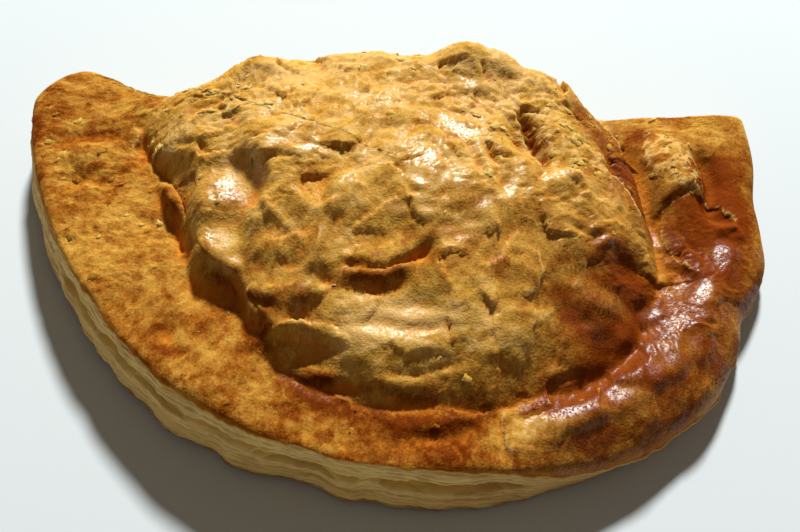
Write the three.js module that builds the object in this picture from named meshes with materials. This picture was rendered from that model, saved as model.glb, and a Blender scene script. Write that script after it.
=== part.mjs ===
// A baked cornish pasty: a half-moon of glazed puff pastry folded over its filling.
// It is one closed solid. Millimetres, +Z up, the long straight fold at the back (+Y),
// the curved crimped rim at the front (-Y), resting on its flat underside at Z = 0.
//
// The upper side is a height over the plan: a low band round the rim, a mound of filling
// on it, a crown on the mound, and the named folds, facets and ledges of the crust.
// The side wall hangs from the rim as baked-open layers, and the underside closes it.

import * as THREE from "three";

// ---------------------------------------------------------------------------
// Driving dimensions
// ---------------------------------------------------------------------------

const LENGTH = 182.8; // from one end of the half-moon to the other
const DEPTH = 97; // from the line between the ends to the front of the rim
const FRONT_Y = -52; // front of the rim
const PLAN_X = 1; // middle of the length, in the plan that the folds are given in
const END_SKEW = 1.5; // the right end lies this much further back than the middle
const APEX = 0.09; // the front is furthest out this share of the half-length to the right
const LEFT_SWEEP = { power: 2.4, fullness: 0.71 }; // how round the front is, left of the apex
const RIGHT_SWEEP = { power: 2.64, fullness: 0.52 };
const BACK_Y = 45.2; // the folded back edge between its swellings
const LEFT_EAR = { x: -82, swell: 10.2, width: 12, corner: 22 };
const RIGHT_EAR = { x: 91, swell: 2.6, width: 16, corner: 28 };
const BACK_BELLY = { x: -4, swell: 9.6, width: 36 };

const BAND_HEIGHT = 16; // of the crust under the mound
const BAND_BLEND = 0.62; // share of the way to the rim where the band has its own level there
const MOUND_HEIGHT = 16.3; // filling above the band
const CROWN_HEIGHT = 2.5; // crown above the mound
const MIDDLE = { x: 0, y: 8 }; // the stations below are measured round this point

// Rings of facets from the middle outwards: to the crown's lip, to the mound's foot, to the rim.
const LIP_RING = 13;
const FOOT_RING = 18;
const RINGS = 28;
const LEAST_LEDGE = 5; // between the lip's ring and the foot's
const LEAST_BAND = 11; // between the foot's ring and the rim
const UNDERSIDE_FLAT = 0.84; // share of the way to the rim where the underside is flat
const UNDERSIDE_CURL = 0.93; // and where it has begun to lift
const CURL_LIFT = 1 / 3; // how far it has lifted there, as a share of the lift at its edge

// Where the middle of the finished outline is, so that the part is centred on its origin.
const CENTRE = { x: -0.35, y: 0.33 };

// ---------------------------------------------------------------------------
// Stations round the rim: angle in degrees from +X, counterclockwise, and a size in mm
// ---------------------------------------------------------------------------

// Height of the crust's edge, where the side wall begins.
const EDGE_HEIGHT = stations({
  20: 5, 33: 5, 90: 9, 140: 11.5, 150: 14, 170: 15, 190: 16.5,
  230: 17, 265: 18, 285: 15, 300: 9, 320: 5, 345: 4.5,
});
// Height of the flat band inside the edge.
const BAND_LEVEL = stations({
  5: 12, 30: 13, 90: 16, 150: 16.5, 180: 17, 230: 18, 270: 18, 300: 15, 330: 13,
});
// Width over which the crust rounds down from the band to its edge.
const EDGE_ROUNDING = stations({
  5: 9, 30: 8, 60: 11, 90: 14, 125: 11, 150: 6, 180: 2.5, 250: 2, 280: 4, 300: 9, 335: 11,
});
// Distance from the middle to the foot of the mound.
const MOUND_FOOT = stations({
  4: 56.5, 29: 60.5, 60: 61, 90: 58, 120: 61.5, 148: 66.5, 156: 67, 164: 62, 172: 53, 182: 48,
  191: 46.5, 199: 45, 210: 42, 222: 41, 230: 43.5, 241: 47, 255: 48, 270: 48, 289: 50.5, 304: 52,
  320: 57.5, 345: 58.5,
});
// The mound's section: the first number sets how far out its top runs, the second how
// sharply it drops.
const MOUND_REACH = stations({
  0: 4.7, 45: 6, 90: 4.7, 135: 4.8, 180: 3.4, 200: 2.6, 225: 1.5, 245: 1.3, 270: 1.5, 300: 3, 330: 3.4,
});
const MOUND_DROP = stations({
  0: 0.55, 45: 1.2, 90: 0.6, 135: 1.3, 180: 0.6, 220: 0.4, 245: 0.65, 270: 0.8, 300: 1, 330: 1.1,
});
// Distance from the middle to the crown's lip, and how sharply the crown drops there.
const CROWN_LIP = stations({
  4: 47, 28: 54, 61: 53.5, 89: 46, 131: 47, 155: 47.5, 175: 41, 205: 34, 225: 22, 245: 19,
  265: 16, 285: 14.5, 305: 18, 325: 30, 346: 44.5,
});
const CROWN_DROP = stations({
  0: 0.7, 45: 0.5, 90: 1.2, 135: 1.6, 180: 1.2, 225: 1.35, 270: 1, 315: 1.3,
});
const CROWN_REACH = 1.9;
const CROWN_TIP = 0.02; // rounds the crown's middle
// How far the foot of the side wall stands outside the crust's edge.
const WALL_LEAN = stations({
  5: -2, 30: -1.5, 90: -3, 140: -1, 155: 2, 168: 4.4, 180: 4, 188: 3.5, 210: 4, 218: 3,
  240: 2, 252: 0.8, 266: 1.8, 278: 2.2, 288: 1, 300: -1, 330: -2,
});
// How high the foot of the side wall is lifted off the surface that the pasty lies on.
const WALL_LIFT = stations({ 30: 0.8, 90: 1.2, 150: 1.6, 185: 2, 230: 1.8, 270: 1.2, 300: 0.8 });
// How far the layers of the side wall have opened: 1 fully, 0 sealed under the crust.
const WALL_OPENING = stations({
  20: 0, 90: 0, 140: 0.2, 165: 0.7, 190: 1, 270: 1, 290: 0.7, 305: 0.2, 330: 0,
});

// Bulges and dents of the rim in plan.
const RIM_BULGES = [
  { angle: 8, out: -1.6, spread: 5 },
  { angle: 355, out: 1.2, spread: 4 },
  { angle: 344, out: -1.6, spread: 3.5 },
  { angle: 328, out: 1, spread: 5 },
  { angle: 249, out: -0.8, spread: 5 },
  { angle: 222, out: 0.4, spread: 4 },
  { angle: 200, out: -0.5, spread: 3 },
];

// The side wall from top to bottom: how far down each layer's edge is, as a share of the
// wall's height, and how far it stands out or is drawn in where the layers have opened.
const WALL_LAYERS = [
  { down: 0.14, out: 0.5 },
  { down: 0.3, out: -1.5 },
  { down: 0.47, out: 0.7 },
  { down: 0.62, out: -1.3 },
  { down: 0.82, out: 0.9 },
  { down: 1, out: -0.4 },
];
const LAYER_WAVE = { height: 0.05, turns: 7, shift: 2 };

// ---------------------------------------------------------------------------
// Small tools
// ---------------------------------------------------------------------------

function smooth(t) {
  const c = THREE.MathUtils.clamp(t, 0, 1);
  return c * c * (3 - 2 * c);
}

function turnOf(x, y) {
  const degrees = THREE.MathUtils.radToDeg(Math.atan2(y - MIDDLE.y, x - MIDDLE.x));
  return THREE.MathUtils.euclideanModulo(degrees, 360);
}

// A smooth closed curve through values at given angles, without overshoot between them.
function stations(table) {
  const given = Object.entries(table).map(([a, v]) => [Number(a), v]);
  given.sort((p, q) => p[0] - q[0]);
  const last = given[given.length - 1];
  const knots = [
    [last[0] - 360, last[1]],
    ...given,
    [given[0][0] + 360, given[0][1]],
    [given[1][0] + 360, given[1][1]],
  ];
  const rise = (k) => (knots[k + 1][1] - knots[k][1]) / (knots[k + 1][0] - knots[k][0]);
  const slope = (k) => {
    const before = rise(k - 1);
    const after = rise(k);
    return before * after > 0 ? (2 * before * after) / (before + after) : 0;
  };
  return (angle) => {
    const a = angle < knots[1][0] ? angle + 360 : angle;
    let k = 1;
    while (k < knots.length - 3 && a >= knots[k + 1][0]) k += 1;
    const span = knots[k + 1][0] - knots[k][0];
    const w = (a - knots[k][0]) / span;
    const blend = smooth(w);
    const start = (w ** 3 - 2 * w * w + w) * span * slope(k);
    const end = (w ** 3 - w * w) * span * slope(k + 1);
    return knots[k][1] * (1 - blend) + knots[k + 1][1] * blend + start + end;
  };
}

// Distance from a point to a path of straight runs, the share of the path's length where
// it is nearest, and the side that it lies on.
function alongPath(path, x, y) {
  const lengths = path.slice(1).map((p, k) => Math.hypot(p[0] - path[k][0], p[1] - path[k][1]));
  const total = lengths.reduce((sum, length) => sum + length, 0);
  let nearest = { distance: Infinity, share: 0, side: 1 };
  let passed = 0;
  for (let k = 0; k < lengths.length; k += 1) {
    const runX = path[k + 1][0] - path[k][0];
    const runY = path[k + 1][1] - path[k][1];
    const fromX = x - path[k][0];
    const fromY = y - path[k][1];
    const t = THREE.MathUtils.clamp((fromX * runX + fromY * runY) / lengths[k] ** 2, 0, 1);
    const distance = Math.hypot(fromX - t * runX, fromY - t * runY);
    if (distance < nearest.distance) {
      const side = runX * fromY - runY * fromX >= 0 ? 1 : -1;
      nearest = { distance, share: (passed + t * lengths[k]) / total, side };
    }
    passed += lengths[k];
  }
  return nearest;
}

const endFade = (share, taper) => smooth(Math.min(share, 1 - share) / taper);

// A rounded swelling, or a hollow where the height is below zero.
function swelling(at, height, acrossX, acrossY, turn = 0) {
  const c = Math.cos(THREE.MathUtils.degToRad(turn));
  const s = Math.sin(THREE.MathUtils.degToRad(turn));
  return (x, y) => {
    const a = (c * (x - at[0]) + s * (y - at[1])) / acrossX;
    const b = (c * (y - at[1]) - s * (x - at[0])) / acrossY;
    return height * Math.exp(-(a * a + b * b));
  };
}

// A patch of crust that dried flat: the height is drawn towards a sloping plane.
function facet(at, level, acrossX, acrossY, turn, fallX, fallY, share = 0.85) {
  const c = Math.cos(THREE.MathUtils.degToRad(turn));
  const s = Math.sin(THREE.MathUtils.degToRad(turn));
  return (x, y, height) => {
    const a = (c * (x - at[0]) + s * (y - at[1])) / acrossX;
    const b = (c * (y - at[1]) - s * (x - at[0])) / acrossY;
    const plane = level + fallX * (x - at[0]) + fallY * (y - at[1]);
    return height + share * Math.exp(-((a * a + b * b) ** 2)) * (plane - height);
  };
}

// A cliff along a path: the height is drawn to one level on each side of it.
function ledge(path, low, high, sharpness, reach, taper = 0.2) {
  return (x, y, height) => {
    const { distance, share, side } = alongPath(path, x, y);
    const level = low + (high - low) * (0.5 + 0.5 * Math.tanh((side * distance) / sharpness));
    const pull = Math.exp(-((distance / reach) ** 2)) * endFade(share, taper);
    return height + pull * (level - height);
  };
}

// A ridge along a path, or a crease where the height is below zero. Its ends fade out.
function fold(path, height, width, taper = 0.3) {
  return (x, y) => {
    const { distance, share } = alongPath(path, x, y);
    return height * Math.exp(-((distance / width) ** 2)) * endFade(share, taper);
  };
}

// A step along a path, higher on its left-hand side, where one sheet of crust ends.
function step(path, height, sharpness, reach, taper = 0.2) {
  return (x, y) => {
    const { distance, share, side } = alongPath(path, x, y);
    const fall = Math.exp(-distance / reach) * Math.tanh(distance / sharpness);
    return side * (height / 2) * fall * endFade(share, taper);
  };
}

// ---------------------------------------------------------------------------
// The crust's folds
// ---------------------------------------------------------------------------

// Lobes of filling along the back, which push the crust's silhouette up.
const CROWN_LOBES = [
  swelling([17, 42], 5.5, 9, 7),
  swelling([-36, 42], 4, 7, 6),
  swelling([-52, 37], 2, 8, 5),
  swelling([-60, 40], 2.4, 7, 6),
  swelling([-48.5, 4], 2.2, 2.2, 9, 27),
  swelling([35, 38], 4, 7, 6),
  fold([[-46, 26.5], [-41, 25], [-35, 22.5]], -0.6, 2.4),
];

// Crests and hollows of the crown's left half, down to its front corner.
const CROWN_CREST = [
  fold([[-13, 9], [-15, -1.5], [-17.5, -7.5], [-18.5, -13.5], [-20, -18.5], [-24.5, -22]], 1.6, 2, 0.25),
  swelling([-18, 5], -1.5, 4, 5),
  fold([[-31.5, -9.5], [-27.5, -15], [-24.5, -17]], -1.2, 2.4),
  fold([[-46, 12.5], [-39, 12], [-32.5, 11]], -0.8, 2.2),
  fold([[-31, 16.5], [-25, 15], [-18.5, 12.5]], 0.9, 3),
  fold([[-1.5, 25], [-7, 17], [-10, 8], [-12, 0]], -1.2, 3.5),
];

// The crown ends over the bulge below it in a torn lip, with a crevice under it.
const CREVICE = [[-17, -16], [-13, -18], [-8.5, -18], [-4.5, -17.5], [-1, -15], [3.5, -12.5], [7.5, -10]];
const CROWN_EDGE = [[-14.5, -13], [-10, -14], [-5.5, -14.5], [-2, -13.5], [2, -11], [6, -8.5]];
const CENTRAL_CREVICE = [
  fold(CREVICE, -0.8, 2.4, 0.4),
  swelling([-1, -24], 0.8, 14, 5),
];

// The right-hand rim is a thick raised ring, with a valley between it and the mound.
const RING = [[20, -42.5], [28, -41.5], [36, -38.5], [45, -33.5], [54, -27], [62, -19], [68, -9], [71, 0]];
const RING_VALLEY = [
  [24.5, -39], [30.5, -37.5], [35.5, -34.5], [40, -31.5], [44, -28.5], [47.5, -24.5], [50, -20], [52, -12],
];
const SHOULDER_VALLEY = [[26.5, -14], [28.5, -17.5], [34, -22], [39.5, -26], [46, -23]];
const FLANK_VALLEY = [[54, 36], [57, 26], [58, 14], [57.5, 2]];

const RIGHT_SHOULDER = [
  fold(SHOULDER_VALLEY, -1.2, 2.2, 0.3),
  swelling([36, -20], -1, 9, 8),
  swelling([38.5, -18], 1, 4, 3.5),
  fold([[41.5, -27], [47.5, -22.5], [51, -19.5]], 1.2, 2.2),
  fold([[25, -33.5], [32.5, -32.5], [38.5, -29.5]], 1.4, 2.2),
  fold([[43, -9.5], [49.5, -8], [54, -5]], -1.5, 2.6),
];

// The crust is torn open at the right of the crown, beside a lump.
const TORN_HOLLOW = [
  swelling([26.5, 18], -3.5, 4.5, 5.5, 10),
  step([[22.5, 24.5], [24, 16], [26.5, 11.5], [29, 4]], -1.8, 0.8, 6),
  swelling([35, 7], 1.2, 5, 4),
];

// The right ear: a crumbly lump, a trough behind it and a lifted sheet of crust.
const RIGHT_EAR_FLAKES = [
  swelling([65, 22], 6.5, 8, 14),
  fold(FLANK_VALLEY, -2, 2.4, 0.25),
  fold([[75, 34], [76, 22], [73.5, 13], [78.5, 8]], -3.5, 2.8, 0.25),
  step([[58, 8], [62, 13.5], [68.5, 17.5], [73.5, 15]], 2.2, 0.8, 5),
  fold([[71.5, 6.5], [80, 8]], 1.5, 2),
  fold([[76, 4], [73.5, -1.5], [71, -8]], 1.2, 2.5),
  step([[59, -1.5], [63, -4], [67.5, -8.5]], 1.4, 0.8, 5, 0.25),
];

// The ring itself, and the step where it begins at the front.
const RIGHT_RING = [
  fold(RING, 2, 4.5, 0.15),
  fold(RING_VALLEY, -1.3, 2, 0.3),
  step([[18.5, -39], [18, -44], [19, -50]], 0.9, 0.6, 6, 0.15),
];

// Edges of the crust's sheets on the left and at the front, higher side on their left.
const LEFT_EDGE = [[-43, -6.5], [-39, -10], [-35, -13], [-33, -16], [-32, -19.5], [-29.5, -23.5]];
const TERRACE_EDGE = [[-31, -22], [-28.5, -25], [-25, -26], [-19.5, -27], [-15, -29], [-10, -30.5]];
const POCKET_EDGE = [[-56, 17], [-52.5, 9], [-50, 3], [-47.5, -2], [-44.5, -5.5]];
const BULGE_EDGE = [[-10, -34.5], [-5.5, -34.5], [2, -34.5], [8.5, -32.5], [16, -31]];
const FRONT_EDGE = [[-22, -33], [-19.5, -34], [-14.5, -35.5], [-9, -36], [-6, -35]];

// Wrinkles across the front and on the left-hand band.
const FRONT_BAND = [
  fold([[-9, -41.5], [2, -44], [13, -41.5]], 0.9, 1.8),
  fold([[-4, -46.5], [6, -46.5], [15, -43.5]], -0.9, 1.8),
];
const LEFT_BAND = [
  fold([[-63, 30.5], [-60.5, 25], [-57, 22.5]], -1.5, 2.5),
  swelling([-48, -24], -1.2, 2.2, 3.2, 20),
  fold([[-83, 26], [-76.5, 30.5], [-70.5, 31.5], [-64, 29.5]], -1.2, 2.5),
  fold([[-77, 13], [-74, 18], [-68, 17.5], [-65, 13]], -1, 1.8),
  swelling([-74, 25.5], 1, 5, 4),
  swelling([-60, -7.5], 0.8, 8, 7),
  swelling([-36, -36], 0.8, 9, 5, -35),
];

// Wrinkles down the back.
const BACK_WRINKLES = [
  fold([[-38, 46], [-31, 41], [-27, 35]], 1.2, 3),
  fold([[-24, 51], [-20, 43], [-18, 35]], -1.2, 2.8),
  fold([[-8, 52], [-5, 44], [-8, 37]], 1.1, 3),
  fold([[8, 51], [6, 44], [10, 37]], -1.1, 2.6),
  fold([[24, 49], [25, 42], [22, 35]], 1.3, 3),
  fold([[40, 44], [36, 40], [35, 34]], -1.2, 2.8),
];

// Broad patches that dried flat.
const FACETS = [
  facet([-38, 5], 26.8, 8, 8, 0, -0.19, -0.08),
  facet([-39, -6], 25, 5.5, 6, -20, -0.18, -0.1),
  facet([-41, 20], 28.3, 6, 6, 0, -0.12, 0.08, 0.7),
  facet([-24, 15], 33.2, 6.5, 3.2, 0, -0.12, -0.06, 0.7),
  facet([-3, -27], 24.9, 14, 7.5, 4, 0, 0.2, 0.85),
  facet([-27, -17], 26.2, 6, 6.5, 0, 0.15, 0.22, 0.8),
  facet([-27, -5], 28.8, 5, 6, 0, 0.1, 0.15, 0.6),
  facet([20, -22], 25.8, 6, 9, 0, -0.1, 0.2, 0.7),
  facet([37, -2], 28, 9, 7, 0, -0.2, 0.12, 0.7),
  facet([33, -22], 21.5, 8, 7, -20, -0.2, 0.25, 0.6),
];

// The torn lips: the level below and above, how sharp, and how far the cliff reaches.
const LEDGES = [
  ledge(CROWN_EDGE, 26.8, 30, 0.8, 3, 0.2),
  ledge(LEFT_EDGE, 17.3, 23.8, 0.8, 4.5, 0.3),
  ledge(TERRACE_EDGE, 20.8, 24.5, 0.8, 3.5, 0.35),
  ledge(FRONT_EDGE, 17.6, 20.8, 0.8, 3, 0.4),
  ledge(BULGE_EDGE, 20.6, 22.8, 0.8, 3, 0.35),
  ledge(POCKET_EDGE, 17, 22.5, 1, 3.2, 0.3),
];

// Everything that is simply added to the height.
const FOLDS = [
  ...CROWN_LOBES,
  ...CROWN_CREST,
  ...CENTRAL_CREVICE,
  ...RIGHT_SHOULDER,
  ...TORN_HOLLOW,
  ...RIGHT_EAR_FLAKES,
  ...RIGHT_RING,
  ...FRONT_BAND,
  ...LEFT_BAND,
  ...BACK_WRINKLES,
];

// ---------------------------------------------------------------------------
// The outline in plan
// ---------------------------------------------------------------------------

const endLine = (u) => FRONT_Y + DEPTH + END_SKEW * u;
const bell = (distance, width, power = 2) => Math.exp(-(Math.abs(distance / width) ** power));

// The curved front edge: u runs from -1 at the left end to 1 at the right end.
function frontEdge(u) {
  const left = u < APEX;
  const sweep = left ? LEFT_SWEEP : RIGHT_SWEEP;
  const v = left ? (APEX - u) / (1 + APEX) : (u - APEX) / (1 - APEX);
  const full = Math.max(1 - v ** sweep.power, 0) ** sweep.fullness;
  return endLine(u) - (endLine(u) - FRONT_Y) * full;
}

// The folded back edge, with its two ears and the belly of the filling between them.
function backEdge(u) {
  const x = PLAN_X + (LENGTH / 2) * u;
  const ears = [LEFT_EAR, RIGHT_EAR].map((ear) => ear.swell * bell(x - ear.x, ear.width));
  const belly = BACK_BELLY.swell * bell(x - BACK_BELLY.x, BACK_BELLY.width, 4);
  const straight = BACK_Y + ears[0] + ears[1] + belly;
  const corner = u < 0 ? LEFT_EAR.corner : RIGHT_EAR.corner;
  return endLine(u) + (straight - endLine(u)) * Math.sqrt(1 - Math.abs(u) ** corner);
}

function rimBulge(angle) {
  let out = 0;
  for (const bulge of RIM_BULGES) {
    const away = THREE.MathUtils.euclideanModulo(angle - bulge.angle + 180, 360) - 180;
    out += bulge.out * bell(away, bulge.spread);
  }
  return out;
}

// Points at equal steps along the crust's edge, counterclockwise from the left end, each
// with its angle and its distance from the middle.
function rimPoints(count) {
  const steps = 2000;
  const curve = new THREE.Path();
  for (let k = 0; k <= 2 * steps; k += 1) {
    const turn = (Math.PI * k) / steps;
    const u = -Math.cos(turn);
    const y = k <= steps ? frontEdge(u) : backEdge(u);
    if (k === 0) curve.moveTo(PLAN_X + (LENGTH / 2) * u, y);
    else curve.lineTo(PLAN_X + (LENGTH / 2) * u, y);
  }
  const points = [];
  for (let k = 0; k < count; k += 1) {
    const point = curve.getPointAt(k / count);
    const angle = turnOf(point.x, point.y);
    const radius = Math.hypot(point.x - MIDDLE.x, point.y - MIDDLE.y) + rimBulge(angle);
    points.push({ angle, radius });
  }
  return points;
}

// ---------------------------------------------------------------------------
// The upper side
// ---------------------------------------------------------------------------

// Height over the plan at a share of the way from the middle to a point of the rim.
function crustHeight(x, y, share, rim) {
  const inward = smooth(share / BAND_BLEND);
  const band = BAND_HEIGHT + (BAND_LEVEL(rim.angle) - BAND_HEIGHT) * inward;

  const toFoot = Math.min((share * rim.radius) / MOUND_FOOT(rim.angle), 1);
  const moundShare = (1 - toFoot ** MOUND_REACH(rim.angle)) ** MOUND_DROP(rim.angle);

  const toLip = Math.min((share * rim.radius) / CROWN_LIP(rim.angle), 1);
  const rounded = Math.sqrt(toLip * toLip + CROWN_TIP);
  const crownShare = Math.max(1 - rounded ** CROWN_REACH, 0) ** CROWN_DROP(rim.angle);

  let top = band + MOUND_HEIGHT * moundShare + CROWN_HEIGHT * crownShare;
  for (const relief of FOLDS) top += relief(x, y);
  for (const shape of [...FACETS, ...LEDGES]) top = shape(x, y, top);

  const edge = EDGE_HEIGHT(rim.angle);
  const fromEdge = Math.min(((1 - share) * rim.radius) / EDGE_ROUNDING(rim.angle), 1);
  return edge + (top - edge) * Math.sqrt(1 - (1 - fromEdge) ** 2);
}

// ---------------------------------------------------------------------------
// The solid
// ---------------------------------------------------------------------------

const points = [];
const faces = [];
const addPoint = (x, y, z) => points.push(x, y, z) / 3 - 1;
const outAt = (rim, distance) => {
  const angle = THREE.MathUtils.degToRad(rim.angle);
  return [MIDDLE.x + distance * Math.cos(angle), MIDDLE.y + distance * Math.sin(angle)];
};

// Two triangles between neighbouring points of an upper or outer row and a lower or
// inner one, closed round the rim.
function joinRows(upper, lower) {
  for (let k = 0; k < upper.length; k += 1) {
    const next = (k + 1) % upper.length;
    faces.push(upper[k], lower[k], lower[next], upper[k], lower[next], upper[next]);
  }
}

const rim = rimPoints(8 * RINGS);

// How far from the middle a ring lies on the way to a point of the rim. One ring follows
// the crown's lip and another the mound's foot, so that both stay clean edges.
function ringShare(ring, station) {
  const foot = Math.min(MOUND_FOOT(station.angle), station.radius - LEAST_BAND);
  const lip = Math.min(CROWN_LIP(station.angle), foot - LEAST_LEDGE);
  let distance = (lip * ring) / LIP_RING;
  if (ring > FOOT_RING) {
    distance = foot + ((station.radius - foot) * (ring - FOOT_RING)) / (RINGS - FOOT_RING);
  } else if (ring > LIP_RING) {
    distance = lip + ((foot - lip) * (ring - LIP_RING)) / (FOOT_RING - LIP_RING);
  }
  return distance / station.radius;
}

// The crust is a square grid drawn out to the rim, so that its facets stay even in size.
function gridPoint(column, row) {
  const ring = Math.max(Math.abs(column), Math.abs(row));
  if (ring === 0) return addPoint(MIDDLE.x, MIDDLE.y, crustHeight(MIDDLE.x, MIDDLE.y, 0, rim[0]));
  const along = alongRim(column, row, ring);
  const before = rim[Math.floor(along) % rim.length];
  const after = rim[(Math.floor(along) + 1) % rim.length];
  const part = along - Math.floor(along);
  const [x0, y0] = outAt(before, before.radius);
  const [x1, y1] = outAt(after, after.radius);
  const x = x0 + (x1 - x0) * part;
  const y = y0 + (y1 - y0) * part;
  const station = { angle: turnOf(x, y), radius: Math.hypot(x - MIDDLE.x, y - MIDDLE.y) };
  const share = ringShare(ring, station);
  const [atX, atY] = outAt(station, station.radius * share);
  return addPoint(atX, atY, crustHeight(atX, atY, share, station));
}

// Where a grid point lies along the rim, counted in the rim's points.
function alongRim(column, row, ring) {
  let along = 0;
  if (row === -ring) along = column + ring;
  else if (column === ring) along = 3 * ring + row;
  else if (row === ring) along = 5 * ring - column;
  else along = 7 * ring - row;
  return (along / (8 * ring)) * rim.length;
}

const grid = [];
for (let row = -RINGS; row <= RINGS; row += 1) {
  const line = [];
  for (let column = -RINGS; column <= RINGS; column += 1) line.push(gridPoint(column, row));
  grid.push(line);
}
for (let row = 0; row < 2 * RINGS; row += 1) {
  for (let column = 0; column < 2 * RINGS; column += 1) {
    const [a, b] = [grid[row][column], grid[row][column + 1]];
    const [d, c] = [grid[row + 1][column], grid[row + 1][column + 1]];
    const mixed = (row < RINGS) === (column < RINGS);
    if (mixed) faces.push(a, b, c, a, c, d);
    else faces.push(a, b, d, b, c, d);
  }
}

// The grid's outermost points, in the order of the rim's points.
const edgeRow = rim.map((_, k) => {
  const side = Math.floor(k / (2 * RINGS));
  const along = k % (2 * RINGS);
  if (side === 0) return grid[0][along];
  if (side === 1) return grid[along][2 * RINGS];
  if (side === 2) return grid[2 * RINGS][2 * RINGS - along];
  return grid[2 * RINGS - along][0];
});

// The side wall: each layer's edge waves up and down and stands in or out.
let upperRow = edgeRow;
for (const [index, layer] of WALL_LAYERS.entries()) {
  const row = rim.map((station) => {
    const opening = WALL_OPENING(station.angle);
    const turn = THREE.MathUtils.degToRad(station.angle);
    const inside = layer.down < 1 ? opening : 0;
    const ripple = Math.sin(LAYER_WAVE.turns * turn + LAYER_WAVE.shift * index);
    const down = layer.down + LAYER_WAVE.height * ripple * inside;
    const edge = EDGE_HEIGHT(station.angle);
    const z = edge + (WALL_LIFT(station.angle) - edge) * down;
    const lean = WALL_LEAN(station.angle) * layer.down;
    const [x, y] = outAt(station, station.radius + lean + layer.out * opening);
    return addPoint(x, y, z);
  });
  joinRows(upperRow, row);
  upperRow = row;
}

// The underside: lifted at its edge and flat inside it.
for (const share of [UNDERSIDE_CURL, UNDERSIDE_FLAT]) {
  const row = rim.map((station) => {
    const foot = station.radius + WALL_LEAN(station.angle);
    const lift = share > UNDERSIDE_FLAT ? WALL_LIFT(station.angle) * CURL_LIFT : 0;
    const [x, y] = outAt(station, foot * share);
    return addPoint(x, y, lift);
  });
  joinRows(upperRow, row);
  upperRow = row;
}
const underside = addPoint(MIDDLE.x, MIDDLE.y, 0);
for (let k = 0; k < upperRow.length; k += 1) {
  faces.push(upperRow[k], underside, upperRow[(k + 1) % upperRow.length]);
}

const geometry = new THREE.BufferGeometry();
geometry.setAttribute("position", new THREE.Float32BufferAttribute(points, 3));
geometry.setIndex(faces);
geometry.computeVertexNormals();

const glazedCrust = new THREE.MeshStandardMaterial({
  color: 0xb8701a,
  roughness: 0.45,
  metalness: 0,
  flatShading: true,
});

const pasty = new THREE.Mesh(geometry, glazedCrust);
pasty.name = "pasty";
pasty.position.set(-CENTRE.x, -CENTRE.y, 0);

const group = new THREE.Group();
group.add(pasty);

export default group;
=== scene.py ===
# %% [markdown]
# # A cornish pasty
#
# A pasty is a round of puff pastry folded over its filling, pressed shut along the curved
# rim, brushed with egg and baked. Three things make it look real: the big crumpled form,
# the flaky relief on top of it, and a crust whose colour and gloss change from one
# millimetre to the next. The cells below go in that order. All sizes are in millimetres
# over the plan of the pasty and turn into metres when a mesh is made.

# %% Load the frame
import itertools
import math

import bpy
import numpy as np
from mathutils import Matrix, Vector


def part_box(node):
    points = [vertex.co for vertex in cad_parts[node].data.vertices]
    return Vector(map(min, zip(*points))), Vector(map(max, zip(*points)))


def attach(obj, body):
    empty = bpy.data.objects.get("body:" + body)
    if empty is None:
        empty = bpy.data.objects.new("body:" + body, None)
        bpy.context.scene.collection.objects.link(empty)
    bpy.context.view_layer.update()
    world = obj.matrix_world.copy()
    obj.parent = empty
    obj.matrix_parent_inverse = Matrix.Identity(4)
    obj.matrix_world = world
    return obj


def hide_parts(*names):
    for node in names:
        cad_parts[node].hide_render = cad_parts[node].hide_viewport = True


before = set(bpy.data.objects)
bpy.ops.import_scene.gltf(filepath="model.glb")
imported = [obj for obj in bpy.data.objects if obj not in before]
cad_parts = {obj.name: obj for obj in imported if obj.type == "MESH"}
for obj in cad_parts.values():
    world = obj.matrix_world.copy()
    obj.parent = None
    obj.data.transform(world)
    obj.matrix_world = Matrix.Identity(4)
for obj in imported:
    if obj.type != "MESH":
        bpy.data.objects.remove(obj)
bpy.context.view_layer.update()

LOW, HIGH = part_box("pasty")
print("the solid to dress is", [round(side * 1000, 1) for side in HIGH - LOW], "mm")

# %% [markdown]
# ## Camera and light first
#
# The camera looks down on the long front side. Its place is given in the same plan as the
# pasty, so it is worked out once and never touched again. Crumpled food shows its form
# only in light from one side: several soft lamps would even the folds out. So a single
# lamp behind the pasty gives long folds of shadow towards the camera and sparkle on the
# egg glaze, and its width of a few degrees keeps the shadow's edge soft. The pale floor
# throws light back under the rim, and a dim, even sky fills the rest.

# %% Camera
CENTRE = (-0.35, 0.33)  # of the plan, in the folds' own millimetres
CAMERA = {"at": (-8.82, -105.63, 160.0), "turn": 4.5, "down": 55.2, "roll": 4.0, "lens": 36.45}


def to_frame(x, y, z):
    """From the plan's millimetres to the frame's metres."""
    return (x - CENTRE[0]) / 1000, (y - CENTRE[1]) / 1000, z / 1000


def place_camera():
    """Makes the camera: its three axes come from its turn, its downward tilt and its roll."""
    turn, down, roll = (math.radians(CAMERA[key]) for key in ("turn", "down", "roll"))
    ahead = Vector(
        (math.sin(turn) * math.cos(down), math.cos(turn) * math.cos(down), -math.sin(down))
    )
    level = Vector((math.cos(turn), -math.sin(turn), 0))
    upright = level.cross(ahead)
    right = level * math.cos(roll) + upright * math.sin(roll)
    up = upright * math.cos(roll) - level * math.sin(roll)
    data = bpy.data.cameras.new("camera")
    data.lens = CAMERA["lens"]
    data.clip_start, data.clip_end = 0.01, 10
    camera = bpy.data.objects.new("camera", data)
    axes = Matrix((right, up, -ahead)).transposed().to_4x4()
    camera.matrix_world = Matrix.Translation(to_frame(*CAMERA["at"])) @ axes
    bpy.context.scene.collection.objects.link(camera)
    bpy.context.scene.camera = camera
    return camera


print("camera at", [round(v, 4) for v in place_camera().location])

# %% Light
LAMP = {"bearing": 7.5, "height": 43.0, "distance": 1.6, "across": 0.2, "power": 52.0}
LAMP_COLOUR = (1.0, 0.985, 0.95)
SKY = {"colour": (1.0, 0.8, 0.62), "strength": 0.18}


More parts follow.
